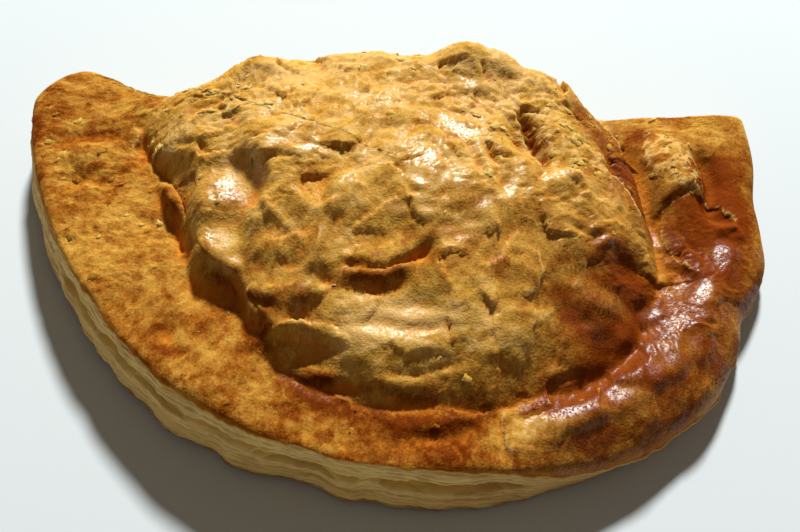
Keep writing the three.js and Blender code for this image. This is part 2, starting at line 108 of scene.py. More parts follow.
def place_lamp():
    """One round lamp, which faces the pasty from behind and to the right."""
    bearing, height = math.radians(LAMP["bearing"]), math.radians(LAMP["height"])
    towards = Vector(
        (math.sin(bearing) * math.cos(height), math.cos(bearing) * math.cos(height), math.sin(height))
    )
    data = bpy.data.lights.new("lamp", "AREA")
    data.shape = "DISK"
    data.size = LAMP["across"]
    data.energy = LAMP["power"]
    data.color = LAMP_COLOUR
    lamp = bpy.data.objects.new("lamp", data)
    lamp.location = towards * LAMP["distance"]
    lamp.rotation_mode = "QUATERNION"
    lamp.rotation_quaternion = towards.to_track_quat("Z", "Y")
    bpy.context.scene.collection.objects.link(lamp)


place_lamp()
sky = bpy.data.worlds.new("sky")
sky.use_nodes = True
sky.node_tree.nodes["Background"].inputs["Color"].default_value = (*SKY["colour"], 1)
sky.node_tree.nodes["Background"].inputs["Strength"].default_value = SKY["strength"]
bpy.context.scene.world = sky
bpy.context.scene.view_settings.view_transform = "Standard"

# %% [markdown]
# ## Small tools
#
# Everything on the crust is a sum of simple functions of the plan: a smooth step, random
# bumps, a swelling, a fold along a path, and a torn step along a path. Writing them on
# whole arrays keeps the script short and quick: each one is worked out for every point of
# the crust at once.

# %% Random bumps
RANDOM = np.random.default_rng(11)
SHUFFLE = np.tile(RANDOM.permutation(256), 3)
SLOPES = RANDOM.normal(size=(256, 3))
SLOPES /= np.linalg.norm(SLOPES, axis=1)[:, None]


def smooth(t):
    """0 below 0, 1 above 1, and an even S-curve between them."""
    c = np.clip(t, 0, 1)
    return c * c * (3 - 2 * c)


def bumps(at, size, seed=0):
    """Gradient noise: smooth bumps about one size across, from about -1 to 1."""
    scaled = at / size + 17.31 * seed
    cell = np.floor(scaled).astype(int)
    inside = scaled - cell
    blend = inside**3 * (inside * (inside * 6 - 15) + 10)
    total = np.zeros(len(at))
    for corner in itertools.product((0, 1), repeat=3):
        a, b, c = ((cell + corner) & 255).T
        slope = SLOPES[SHUFFLE[SHUFFLE[SHUFFLE[a] + b] + c]]
        weight = np.where(corner, blend, 1 - blend).prod(axis=1)
        total += weight * ((inside - corner) * slope).sum(axis=1)
    return 1.6 * total


def rough(at, size, seed=0, octaves=3):
    """Bumps of several sizes, each half as large and half as high as the last."""
    return sum(bumps(at, size / 2**k, seed + 3 * k) / 2**k for k in range(octaves))


def drawn_out(at, size, seed, direction, length):
    """Bumps smeared along a direction, as the wrinkles of a drawn skin are."""
    offsets = np.linspace(-0.5, 0.5, 7)
    smeared = sum(bumps(at + length * step * direction, size, seed) for step in offsets)
    return smeared / 3.2


# %% Swellings, folds and torn steps
def swelling(at, height, across_x, across_y, turn=0):
    """A rounded swelling, or a hollow where the height is below zero."""
    c, s = math.cos(math.radians(turn)), math.sin(math.radians(turn))

    def lift(x, y):
        a = (c * (x - at[0]) + s * (y - at[1])) / across_x
        b = (c * (y - at[1]) - s * (x - at[0])) / across_y
        return height * np.exp(-(a * a + b * b))

    return lift


def along_path(path, x, y):
    """Distance to a path, the share of its length where it is nearest, side and heading."""
    path = np.asarray(path, float)
    runs = np.diff(path, axis=0)
    lengths = np.hypot(*runs.T)
    distance = np.full(x.shape, np.inf)
    share, side = np.zeros(x.shape), np.ones(x.shape)
    heading = np.zeros((2, *x.shape))
    passed = 0.0
    for start, run, length in zip(path, runs, lengths):
        from_x, from_y = x - start[0], y - start[1]
        t = np.clip((from_x * run[0] + from_y * run[1]) / length**2, 0, 1)
        away = np.hypot(from_x - t * run[0], from_y - t * run[1])
        nearer = away < distance
        distance = np.where(nearer, away, distance)
        share = np.where(nearer, (passed + t * length) / lengths.sum(), share)
        side = np.where(nearer, np.sign(run[0] * from_y - run[1] * from_x + 1e-9), side)
        heading = np.where(nearer, (run / length)[:, None, None], heading)
        passed += length
    return distance, share, side, heading


def end_fade(share, taper):
    """1 along most of a path, and down to 0 at both its ends."""
    return smooth(np.minimum(share, 1 - share) / taper)


def fold(path, height, width, taper=0.3):
    """A ridge along a path, or a crease where the height is below zero."""

    def lift(x, y):
        distance, share, _, _ = along_path(path, x, y)
        return height * np.exp(-((distance / width) ** 2)) * end_fade(share, taper)

    return lift


def step(path, height, sharpness, reach, taper=0.2):
    """A step along a path, higher on its left-hand side, where one sheet of crust ends."""

    def lift(x, y):
        distance, share, side, _ = along_path(path, x, y)
        fall = np.exp(-distance / reach) * np.tanh(distance / sharpness)
        return side * (height / 2) * fall * end_fade(share, taper)

    return lift


def facet(at, level, across, along, turn, fall_x, fall_y, share=0.85):
    """A patch of crust that dried flat: the height is drawn towards a sloping plane."""
    c, s = math.cos(math.radians(turn)), math.sin(math.radians(turn))

    def flatten(x, y, height):
        a = (c * (x - at[0]) + s * (y - at[1])) / across
        b = (c * (y - at[1]) - s * (x - at[0])) / along
        plane = level + fall_x * (x - at[0]) + fall_y * (y - at[1])
        return height + share * np.exp(-((a * a + b * b) ** 2)) * (plane - height)

    return flatten


def ledge(path, low, high, sharpness, reach, taper=0.2):
    """A cliff along a path: the height is drawn to one level on each side of it."""

    def cut(x, y, height):
        distance, share, side, _ = along_path(path, x, y)
        level = low + (high - low) * (0.5 + 0.5 * np.tanh(side * distance / sharpness))
        return height + np.exp(-((distance / reach) ** 2)) * end_fade(share, taper) * (level - height)

    return cut


def stations(table):
    """A smooth closed curve through values at given angles, without overshoot."""
    angles = np.array(sorted(table), float)
    values = np.array([table[angle] for angle in sorted(table)], float)
    angles = np.concatenate([angles[-2:] - 360, angles, angles[:2] + 360])
    values = np.concatenate([values[-2:], values, values[:2]])
    rise = np.diff(values) / np.diff(angles)
    before, after = rise[:-1], rise[1:]
    same = before * after > 0
    slope = np.zeros(len(values))
    slope[1:-1][same] = 2 * (before * after)[same] / (before + after)[same]

    def at(angle):
        k = np.clip(np.searchsorted(angles, angle, side="right") - 1, 1, len(angles) - 3)
        span = angles[k + 1] - angles[k]
        w = (angle - angles[k]) / span
        blend = w * w * (3 - 2 * w)
        start = (w**3 - 2 * w * w + w) * span * slope[k]
        end = (w**3 - w * w) * span * slope[k + 1]
        return values[k] * (1 - blend) + values[k + 1] * blend + start + end

    return at


# %% [markdown]
# ## The pasty's form
#
# The outline is a fuller and a flatter arc on either side of the front, and a folded back
# edge with an ear at each end. Over the outline stands a low band, a mound of filling and
# a crown. Every size that changes round the rim is a short table of stations: an angle in
# degrees from the right-hand end, counterclockwise, and a size in millimetres.

# %% Driving sizes
LENGTH = 182.8
DEPTH = 97
FRONT_Y = -52
PLAN_X = 1
END_SKEW = 1.5
APEX = 0.09
LEFT_SWEEP = {"power": 2.4, "fullness": 0.71}
RIGHT_SWEEP = {"power": 2.64, "fullness": 0.52}
BACK_Y = 45.2
LEFT_EAR = {"x": -82, "swell": 10.2, "width": 12, "corner": 22}
RIGHT_EAR = {"x": 91, "swell": 2.6, "width": 16, "corner": 28}
BACK_BELLY = {"x": -4, "swell": 9.6, "width": 36}
RIM_BULGES = [(8, -1.6, 5), (355, 1.2, 4), (344, -1.6, 3.5), (328, 1, 5), (249, -0.8, 5)]
RIM_BULGES += [(222, 0.4, 4), (200, -0.5, 3)]

BAND_HEIGHT = 16
BAND_BLEND = 0.62
MOUND_HEIGHT = 16.3
CROWN_HEIGHT = 2.5
MIDDLE = (0, 8)
CROWN_REACH = 1.9
CROWN_TIP = 0.02

# %% Stations round the rim
EDGE_HEIGHT = stations({
    20: 5, 33: 5, 90: 9, 140: 11.5, 150: 14, 170: 15, 190: 16.5,
    230: 17, 265: 18, 285: 15, 300: 9, 320: 5, 345: 4.5,
})
BAND_LEVEL = stations({
    5: 12, 30: 13, 90: 16, 150: 16.5, 180: 17, 230: 18, 270: 18, 300: 15, 330: 13,
})
EDGE_ROUNDING = stations({
    5: 9, 30: 8, 60: 11, 90: 14, 125: 11, 150: 6, 180: 2.5, 250: 2, 280: 4, 300: 9, 335: 11,
})
MOUND_FOOT = stations({
    4: 56.5, 29: 60.5, 60: 61, 90: 58, 120: 61.5, 148: 66.5, 156: 67, 164: 62, 172: 53, 182: 48,
    191: 46.5, 199: 45, 210: 42, 222: 41, 230: 43.5, 241: 47, 255: 48, 270: 48, 289: 50.5,
    304: 52, 320: 57.5, 345: 58.5,
})
MOUND_REACH = stations({
    0: 4.7, 45: 6, 90: 4.7, 135: 4.8, 180: 3.4, 200: 2.6, 225: 1.5, 245: 1.3, 270: 1.5, 300: 3, 330: 3.4,
})
MOUND_DROP = stations({
    0: 0.55, 45: 1.2, 90: 0.6, 135: 1.3, 180: 0.6, 220: 0.4, 245: 0.65, 270: 0.8, 300: 1,
    330: 1.1,
})
CROWN_LIP = stations({
    4: 47, 28: 54, 61: 53.5, 89: 46, 131: 47, 155: 47.5, 175: 41, 205: 34, 225: 22, 245: 19,
    265: 16, 285: 14.5, 305: 18, 325: 30, 346: 44.5,
})
CROWN_DROP = stations({
    0: 0.7, 45: 0.5, 90: 1.2, 135: 1.6, 180: 1.2, 225: 1.35, 270: 1, 315: 1.3,
})
WALL_LEAN = stations({
    5: -2, 30: -1.5, 90: -3, 140: -1, 155: 2, 168: 4.4, 180: 4, 188: 3.5, 210: 4, 218: 3,
    240: 2, 252: 0.8, 266: 1.8, 278: 2.2, 288: 1, 300: -1, 330: -2,
})
WALL_LIFT = stations({30: 0.8, 90: 1.2, 150: 1.6, 185: 2, 230: 1.8, 270: 1.2, 300: 0.8})
WALL_OPENING = stations({
    20: 0, 90: 0, 140: 0.2, 165: 0.7, 190: 1, 270: 1, 290: 0.7, 305: 0.2, 330: 0,
})


# %% The outline
def bell(distance, width, power=2):
    return np.exp(-(np.abs(distance / width) ** power))


def end_line(u):
    return FRONT_Y + DEPTH + END_SKEW * u


def front_edge(u):
    left = u < APEX
    v = np.where(left, (APEX - u) / (1 + APEX), (u - APEX) / (1 - APEX))
    power = np.where(left, LEFT_SWEEP["power"], RIGHT_SWEEP["power"])
    fullness = np.where(left, LEFT_SWEEP["fullness"], RIGHT_SWEEP["fullness"])
    full = np.maximum(1 - v**power, 0) ** fullness
    return end_line(u) - (end_line(u) - FRONT_Y) * full


def back_edge(u):
    x = PLAN_X + (LENGTH / 2) * u
    ears = sum(ear["swell"] * bell(x - ear["x"], ear["width"]) for ear in (LEFT_EAR, RIGHT_EAR))
    belly = BACK_BELLY["swell"] * bell(x - BACK_BELLY["x"], BACK_BELLY["width"], 4)
    corner = np.where(u < 0, LEFT_EAR["corner"], RIGHT_EAR["corner"])
    round_end = np.sqrt(np.maximum(1 - np.abs(u) ** corner, 0))
    return end_line(u) + (BACK_Y + ears + belly - end_line(u)) * round_end


def turn_of(x, y):
    return np.degrees(np.arctan2(y - MIDDLE[1], x - MIDDLE[0])) % 360


def outline(count, steps=4000):
    """Evenly spaced points of the rim, counterclockwise: their angles and distances."""
    turn = np.linspace(0, 2 * np.pi, 2 * steps + 1)
    u = -np.cos(turn)
    x = PLAN_X + (LENGTH / 2) * u
    y = np.where(turn <= np.pi, front_edge(u), back_edge(u))
    length = np.concatenate([[0], np.cumsum(np.hypot(np.diff(x), np.diff(y)))])
    even = np.arange(count) / count * length[-1]
    x, y = np.interp(even, length, x), np.interp(even, length, y)
    angle = turn_of(x, y)
    radius = np.hypot(x - MIDDLE[0], y - MIDDLE[1])
    for at, out, spread in RIM_BULGES:
        radius += out * bell((angle - at + 180) % 360 - 180, spread)
    first = int(np.argmin(np.abs(angle - 270)))
    print("the rim is", round(length[-1]), "mm round")
    return np.roll(angle, -first), np.roll(radius, -first)


# %% The three tiers
def tiers(share, angle, radius):
    """Height of the band, mound and crown at a share of the way from middle to rim."""
    band = BAND_HEIGHT + (BAND_LEVEL(angle) - BAND_HEIGHT) * smooth(share / BAND_BLEND)
    to_foot = np.minimum(share * radius / MOUND_FOOT(angle), 1)
    mound = (1 - to_foot ** MOUND_REACH(angle)) ** MOUND_DROP(angle)
    to_lip = np.minimum(share * radius / CROWN_LIP(angle), 1)
    rounded = np.sqrt(to_lip**2 + CROWN_TIP)
    crown = np.maximum(1 - rounded**CROWN_REACH, 0) ** CROWN_DROP(angle)
    return band + MOUND_HEIGHT * mound + CROWN_HEIGHT * crown


def rounded_down(top, share, angle, radius):
    """Rounds the crust down to its edge."""
    edge = EDGE_HEIGHT(angle)
    from_edge = np.minimum((1 - share) * radius / EDGE_ROUNDING(angle), 1)
    return edge + (top - edge) * np.sqrt(1 - (1 - from_edge) ** 2)


# %% [markdown]
# ## A grid that fits the outline
#
# A height needs a grid of points. A plain square grid would leave a ragged rim, and rays
# from the middle would crowd there, so the grid is a rectangle whose rings are drawn out
# to the rim: the outermost ring is the rim itself. Along each ray the points are spread by
# the distance travelled over the base form, not by plan distance, so steep cliffs get as
# many points as flat places.

# %% The grid
HALF_COLUMNS, HALF_ROWS = 182, 106
ROUND = 4 * (HALF_COLUMNS + HALF_ROWS)
RIM_ANGLE, RIM_RADIUS = outline(ROUND)


def spread_rays(samples=240, kept=160):
    """For every rim point, the shares of the way out that lie evenly over the base form."""
    share = np.linspace(0, 1, samples)[None, :]
    angle, radius = RIM_ANGLE[:, None], RIM_RADIUS[:, None]
    height = rounded_down(tiers(share, angle, radius), share, angle, radius)
    run = np.hypot(np.diff(share) * radius, 0.8 * np.diff(height))
    length = np.concatenate([np.zeros((ROUND, 1)), np.cumsum(run, axis=1)], axis=1)
    length /= length[:, -1:]
    even = np.linspace(0, 1, kept)
    return np.array([np.interp(even, row, share[0]) for row in length])


def grid_plan():
    """Plan places of the grid's points, with their shares, angles and rim distances."""
    column, row = np.meshgrid(
        np.arange(-HALF_COLUMNS, HALF_COLUMNS + 1), np.arange(-HALF_ROWS, HALF_ROWS + 1)
    )
    ring = np.maximum(np.abs(column) / HALF_COLUMNS, np.abs(row) / HALF_ROWS)
    safe = np.maximum(ring, 1e-9)
    across, up = column / safe, row / safe
    a, b = HALF_COLUMNS, HALF_ROWS
    bottom = np.abs(up + b) < 1e-6
    right = np.abs(across - a) < 1e-6
    top = np.abs(up - b) < 1e-6
    along = np.where(
        bottom, across, np.where(right, a + b + up, np.where(top, 2 * a + 2 * b - across, -a - b - up))
    )
    along = along % ROUND
    k = np.floor(along).astype(int) % ROUND
    following = (k + 1) % ROUND
    part = along - np.floor(along)

    rays = spread_rays()
    level = ring * (rays.shape[1] - 1)
    m = np.minimum(level.astype(int), rays.shape[1] - 2)
    w = level - m
    near = rays[k, m] * (1 - w) + rays[k, m + 1] * w
    far = rays[following, m] * (1 - w) + rays[following, m + 1] * w
    share = near * (1 - part) + far * part

    rim_x = RIM_RADIUS * np.cos(np.radians(RIM_ANGLE))
    rim_y = RIM_RADIUS * np.sin(np.radians(RIM_ANGLE))
    out_x = rim_x[k] * (1 - part) + rim_x[following] * part
    out_y = rim_y[k] * (1 - part) + rim_y[following] * part
    x, y = MIDDLE[0] + share * out_x, MIDDLE[1] + share * out_y
    return x, y, share, turn_of(MIDDLE[0] + out_x, MIDDLE[1] + out_y), np.hypot(out_x, out_y)


X, Y, SHARE, ANGLE, RADIUS = grid_plan()
SHAPE = X.shape
PLAN = np.column_stack([X.ravel(), Y.ravel(), np.zeros(X.size)])
print("the crust has", X.size, "points")

# %% [markdown]
# ## Large folds
#
# The crust's main folds, hollows and steps, listed by where they are. They are the same
# ones that shape the solid, so the dressed pasty stays the size of the solid. A fold or a
# swelling adds to the height. A facet draws it towards a sloping plane, as where a sheet
# of crust dried flat. A ledge draws it to one level on each side of a path, as where one
# sheet ends above the next. Sculpting would be freer, but each entry of a list can be
# read, moved and weighed against its neighbours.

# %% Crown
CROWN_LOBES = [
    swelling((17, 42), 5.5, 9, 7),
    swelling((-36, 42), 4, 7, 6),
    swelling((-52, 37), 2, 8, 5),
    swelling((-60, 40), 2.4, 7, 6),
    swelling((-48.5, 4), 2.2, 2.2, 9, 27),
    swelling((35, 38), 4, 7, 6),
    fold([(-46, 26.5), (-41, 25), (-35, 22.5)], -0.6, 2.4),
]
CROWN_CREST = [
    fold(
        [(-13, 9), (-15, -1.5), (-17.5, -7.5), (-18.5, -13.5), (-20, -18.5), (-24.5, -22)],
        1.6, 2, 0.25,
    ),
    swelling((-18, 5), -1.5, 4, 5),
    fold([(-31.5, -9.5), (-27.5, -15), (-24.5, -17)], -1.2, 2.4),
    fold([(-46, 12.5), (-39, 12), (-32.5, 11)], -0.8, 2.2),
    fold([(-31, 16.5), (-25, 15), (-18.5, 12.5)], 0.9, 3),
    fold([(-1.5, 25), (-7, 17), (-10, 8), (-12, 0)], -1.2, 3.5),
]
CREVICE = [(-17, -16), (-13, -18), (-8.5, -18), (-4.5, -17.5), (-1, -15), (3.5, -12.5), (7.5, -10)]
CROWN_EDGE = [(-14.5, -13), (-10, -14), (-5.5, -14.5), (-2, -13.5), (2, -11), (6, -8.5)]
CENTRAL_CREVICE = [
    fold(CREVICE, -0.8, 2.4, 0.4),
    swelling((-1, -24), 0.8, 14, 5),
]

# %% Right-hand side
RING = [(20, -42.5), (28, -41.5), (36, -38.5), (45, -33.5), (54, -27), (62, -19), (68, -9), (71, 0)]
RING_VALLEY = [
    (24.5, -39), (30.5, -37.5), (35.5, -34.5), (40, -31.5), (44, -28.5), (47.5, -24.5), (50, -20), (52, -12),
]
SHOULDER_VALLEY = [(26.5, -14), (28.5, -17.5), (34, -22), (39.5, -26), (46, -23)]
FLANK_VALLEY = [(54, 36), (57, 26), (58, 14), (57.5, 2)]
RIGHT_SHOULDER = [
    fold(SHOULDER_VALLEY, -1.2, 2.2, 0.3),
    swelling((36, -20), -1, 9, 8),
    swelling((38.5, -18), 1, 4, 3.5),
    fold([(41.5, -27), (47.5, -22.5), (51, -19.5)], 1.2, 2.2),
    fold([(25, -33.5), (32.5, -32.5), (38.5, -29.5)], 1.4, 2.2),
    fold([(43, -9.5), (49.5, -8), (54, -5)], -1.5, 2.6),
]
TORN_HOLLOW = [
    swelling((26.5, 18), -3.5, 4.5, 5.5, 10),
    step([(22.5, 24.5), (24, 16), (26.5, 11.5), (29, 4)], -1.8, 0.8, 6),
    swelling((35, 7), 1.2, 5, 4),
]
RIGHT_EAR_FLAKES = [
    swelling((65, 22), 6.5, 8, 14),
    fold(FLANK_VALLEY, -2, 2.4, 0.25),
    fold([(75, 34), (76, 22), (73.5, 13), (78.5, 8)], -3.5, 2.8, 0.25),
    step([(58, 8), (62, 13.5), (68.5, 17.5), (73.5, 15)], 2.2, 0.8, 5),
    fold([(71.5, 6.5), (80, 8)], 1.5, 2),
    fold([(76, 4), (73.5, -1.5), (71, -8)], 1.2, 2.5),
    step([(59, -1.5), (63, -4), (67.5, -8.5)], 1.4, 0.8, 5, 0.25),
]
RIGHT_RING = [
    fold(RING, 2, 4.5, 0.15),
    fold(RING_VALLEY, -1.3, 2, 0.3),
    step([(18.5, -39), (18, -44), (19, -50)], 0.9, 0.6, 6, 0.15),
]

# %% Left-hand side, front and back
LEFT_EDGE = [(-43, -6.5), (-39, -10), (-35, -13), (-33, -16), (-32, -19.5), (-29.5, -23.5)]
TERRACE_EDGE = [(-31, -22), (-28.5, -25), (-25, -26), (-19.5, -27), (-15, -29), (-10, -30.5)]
POCKET_EDGE = [(-56, 17), (-52.5, 9), (-50, 3), (-47.5, -2), (-44.5, -5.5)]
BULGE_EDGE = [(-10, -34.5), (-5.5, -34.5), (2, -34.5), (8.5, -32.5), (16, -31)]
FRONT_EDGE = [(-22, -33), (-19.5, -34), (-14.5, -35.5), (-9, -36), (-6, -35)]
EAR_ROOT = [(-63, 30.5), (-60.5, 25), (-57, 22.5)]
EAR_CREASE = [(-83, 26), (-76.5, 30.5), (-70.5, 31.5), (-64, 29.5)]
EAR_FOOT = [(-77, 13), (-74, 18), (-68, 17.5), (-65, 13)]
FRONT_BAND = [
    fold([(-9, -41.5), (2, -44), (13, -41.5)], 0.9, 1.8),
    fold([(-4, -46.5), (6, -46.5), (15, -43.5)], -0.9, 1.8),
]
LEFT_BAND = [
    fold(EAR_ROOT, -1.5, 2.5),
    swelling((-48, -24), -1.2, 2.2, 3.2, 20),
    fold(EAR_CREASE, -1.2, 2.5),
    fold(EAR_FOOT, -1, 1.8),
    swelling((-74, 25.5), 1, 5, 4),
    swelling((-60, -7.5), 0.8, 8, 7),
    swelling((-36, -36), 0.8, 9, 5, -35),
]
BACK_WRINKLES = [
    fold([(-38, 46), (-31, 41), (-27, 35)], 1.2, 3),
    fold([(-24, 51), (-20, 43), (-18, 35)], -1.2, 2.8),
    fold([(-8, 52), (-5, 44), (-8, 37)], 1.1, 3),
    fold([(8, 51), (6, 44), (10, 37)], -1.1, 2.6),
    fold([(24, 49), (25, 42), (22, 35)], 1.3, 3),
    fold([(40, 44), (36, 40), (35, 34)], -1.2, 2.8),
]
FACETS = [
    facet((-38, 5), 26.8, 8, 8, 0, -0.19, -0.08),
    facet((-39, -6), 25, 5.5, 6, -20, -0.18, -0.1),
    facet((-41, 20), 28.3, 6, 6, 0, -0.12, 0.08, 0.7),
    facet((-24, 15), 33.2, 6.5, 3.2, 0, -0.12, -0.06, 0.7),
    facet((-3, -27), 24.9, 14, 7.5, 4, 0, 0.2, 0.85),
    facet((-27, -17), 26.2, 6, 6.5, 0, 0.15, 0.22, 0.8),
    facet((-27, -5), 28.8, 5, 6, 0, 0.1, 0.15, 0.6),
    facet((20, -22), 25.8, 6, 9, 0, -0.1, 0.2, 0.7),
    facet((37, -2), 28, 9, 7, 0, -0.2, 0.12, 0.7),
    facet((33, -22), 21.5, 8, 7, -20, -0.2, 0.25, 0.6),
]
LEDGES = [
    ledge(CROWN_EDGE, 26.8, 30, 0.8, 3, 0.2),
    ledge(LEFT_EDGE, 17.3, 23.8, 0.8, 4.5, 0.3),
    ledge(TERRACE_EDGE, 20.8, 24.5, 0.8, 3.5, 0.35),
    ledge(FRONT_EDGE, 17.6, 20.8, 0.8, 3, 0.4),
    ledge(BULGE_EDGE, 20.6, 22.8, 0.8, 3, 0.35),
    ledge(POCKET_EDGE, 17, 22.5, 1, 3.2, 0.3),
]
LARGE_FOLDS = [
    *CROWN_LOBES, *CROWN_CREST, *CENTRAL_CREVICE, *RIGHT_SHOULDER, *TORN_HOLLOW,
    *RIGHT_EAR_FLAKES, *RIGHT_RING, *FRONT_BAND, *LEFT_BAND, *BACK_WRINKLES,
]


# %% Add them up
def total(parts):
    """The summed height of a list of swellings, folds or steps, over the whole grid."""
    return sum(part(X, Y) for part in parts)


form = tiers(SHARE, ANGLE, RADIUS) + total(LARGE_FOLDS)
for shape in (*FACETS, *LEDGES):
    form = shape(X, Y, form)
print("the highest fold stands at", round(float(form.max()), 1), "mm")

# %% [markdown]
# ## Regions
#
# The crust isn't the same everywhere: the crown and the right-hand ring are glazed and
# tight, the band round the left is dry and mottled, the dome's back is scaly, and the
# right ear and the torn hollow are bare crumb. Each region is a mask from 0 to 1, made
# from the same functions as the relief, and later it steers relief, colour and gloss.

# %% Masks
to_lip = SHARE * RADIUS / CROWN_LIP(ANGLE)
to_foot = SHARE * RADIUS / MOUND_FOOT(ANGLE)
crown = smooth((1.08 - to_lip) / 0.16)
mound = smooth((1.06 - to_foot) / 0.12)
rightness = smooth((X - 6) / 30)
back = smooth((Y - 16) / 10) * mound
ring = (1 - mound) * smooth((X - 14) / 8) * smooth((8 - Y) / 10)
dry_band = (1 - mound) * (1 - ring) * smooth((30 - X) / 20)
ear_crumb = np.clip(total([
    swelling((66, 29), 1.3, 6, 10),
    fold([(61, 19), (67, 20), (75, 20)], 0.9, 3.5),
]), 0, 1)
tear_crumb = np.clip(total([
    fold([(28, 24), (30, 18), (35, 14), (46, 19)], 1.2, 4.5, 0.1),
    swelling((38, 17), 0.9, 8, 6),
]), 0, 1)
crumb = np.maximum(ear_crumb, tear_crumb)

# %% [markdown]
# ## Fine relief
#
# Egg-washed puff pastry wrinkles as it dries over steam: broad facets that meet in soft
# ridges, thin wrinkles along the way the dough was pulled, and scales where the top sheet
# has lifted. Facets come from the absolute value of noise, which has sharp creases;
# wrinkles from noise drawn out along a direction; scales from contour lines, which is what
# baked layers are. Among them lie sheets: plates of crust a few millimetres across, each
# tilted its own way, made like paving from scattered middles. A bump map would be
# cheaper, but it leaves no edge against the light. Each kind has its own strength in each
# region.

# %% Wrinkle directions
FLOW_REACH = 14
FLOW = [
    # place, and the way the dough was pulled there in degrees
    ((-36.5, 6), 35), ((-31.5, 29), 15), ((-10, 14), 50), ((9.5, 9.5), -50), ((6, -5.5), 20),
    ((17, 35.5), -10), ((0.5, -26), 5), ((22, -3.5), -65), ((37.5, 0), 30), ((45, 19.5), 75),
    ((31.5, -25), 15), ((-50, 30.5), 20), ((45.5, -37.5), 30), ((62.5, -19.5), 60),
    ((67, 6.5), 85), ((-70, 10), 40), ((-45, -25), -40), ((0, -44), 5),
]


def flow():
    """Unit vectors of the wrinkles, blended from a few given directions in degrees."""
    weight, across, up = 0, 0, 0
    for (x, y), degrees in FLOW:
        near = np.exp(-(((X - x) ** 2 + (Y - y) ** 2) / FLOW_REACH**2)) + 1e-6
        across = across + near * math.cos(2 * math.radians(degrees))
        up = up + near * math.sin(2 * math.radians(degrees))
        weight = weight + near
    half = np.arctan2(up, across) / 2
    return np.column_stack([np.cos(half).ravel(), np.sin(half).ravel(), np.zeros(X.size)])


DIRECTION = flow()

# %% Facets, wrinkles and scales
warp = np.column_stack([bumps(PLAN, 9, 21), bumps(PLAN, 9, 22), np.zeros(X.size)])
WARPED = PLAN + 2.2 * warp


def field(values):
    """A flat list of values, one for each grid point, in the grid's own shape."""
    return values.reshape(SHAPE)


facets = field(0.5 - np.abs(drawn_out(WARPED, 8, 1, DIRECTION, 8)))
small_facets = field(0.5 - np.abs(drawn_out(WARPED, 3.6, 2, DIRECTION, 4)))
wrinkles = field(drawn_out(WARPED, 1.9, 3, DIRECTION, 6))
thin_wrinkles = field(drawn_out(PLAN, 0.95, 4, DIRECTION, 3))
dimples = field(rough(PLAN, 3.4, 5, 3))
grit = field(bumps(PLAN, 1.1, 6))
swell = field(bumps(PLAN, 17, 7))
print("wrinkles from", wrinkles.min().round(2), "to", wrinkles.max().round(2))

# %% Sheets
SHEET_SCATTER = 0.42  # of a cell, by which a sheet's middle lies off the cell's middle


def sheets(width, depth, seed):
    """Sheets of crust: each point belongs to the nearest of many scattered middles.

    Gives the tilted sheets' height, then a tone and a shine from -1 to 1 for each sheet."""
    u, v = field(WARPED[:, 0]) / width, field(WARPED[:, 1]) / depth
    column, row = np.floor(u).astype(int), np.floor(v).astype(int)
    table = np.random.default_rng(seed).uniform(-1, 1, (64, 64, 6))
    nearest = np.full(SHAPE, 9.0)
    tilt, tone, shine = np.zeros(SHAPE), np.zeros(SHAPE), np.zeros(SHAPE)
    for i in (-1, 0, 1):
        for j in (-1, 0, 1):
            own = table[(column + i) % 64, (row + j) % 64]
            across = u - (column + i + 0.5 + SHEET_SCATTER * own[..., 0])
            along = v - (row + j + 0.5 + SHEET_SCATTER * own[..., 1])
            distance = np.hypot(across, along)
            closer = distance < nearest
            nearest = np.where(closer, distance, nearest)
            slope = own[..., 2] * across * width + own[..., 3] * along * depth
            tilt = np.where(closer, slope, tilt)
            tone, shine = np.where(closer, own[..., 4], tone), np.where(closer, own[..., 5], shine)
    return tilt, tone, shine


large_sheets, sheet_tone, sheet_shine = sheets(9.5, 6.5, 91)
small_sheets, flake_tone, flake_shine = sheets(3.6, 2.2, 92)
print("the steepest sheet rises", large_sheets.max().round(1), "mm before it is scaled")

# %% Relief of each region
glazed = np.clip(crown + 0.7 * mound + 0.8 * ring, 0, 1) * (1 - crumb)
relief = (
    0.14 * large_sheets * (0.2 + 0.8 * glazed)
    + 0.13 * small_sheets * (0.35 + 0.4 * glazed + 0.4 * back + crumb)
    + 0.3 * facets * crown * (1 - 0.5 * back)
    + 0.22 * small_facets * (0.35 + glazed) * (1 - 0.4 * back)
    + 0.11 * wrinkles * glazed * (1 - 0.5 * ring)
    + 0.05 * thin_wrinkles * (0.5 + glazed)
    + dimples * (0.05 + 0.28 * dry_band)
    + 0.05 * grit * (0.6 + 2.2 * crumb + dry_band)
    + 0.4 * swell
)


def scales(height, pitch, raggedness, seed):
    """Contour steps of a height: each pitch drops in a short cliff with a ragged line."""
    ragged = height + raggedness * field(rough(WARPED, 5, seed, 4))
    level = ragged / pitch
    inside = level - np.floor(level)
    return pitch * (smooth((inside - 0.75) / 0.25) - inside)


back_scales = scales(form, 1.1, 1.5, 9)
crumb_scales = scales(form + 2 * field(rough(PLAN, 6, 12)), 1.0, 1.6, 10)
sheet_scales = scales(2.2 * field(rough(WARPED, 9, 14, 3)), 0.45, 0.8, 15)
relief += 0.55 * back * back_scales + 0.5 * crumb * crumb_scales
relief += 0.75 * (1 - crumb) * (1 - 0.5 * back) * sheet_scales
print("fine relief from", relief.min().round(2), "to", relief.max().round(2), "mm")

# %% [markdown]
# ## Torn edges
#
# Where a sheet of crust has cracked or lifted, its edge stands over what is below it. A
# height alone can't overhang, so each torn edge does two things: it steps the height
# within half a millimetre, and it pushes the top of the step out over the lower side. The
# line is ragged, because the path is read through noise.

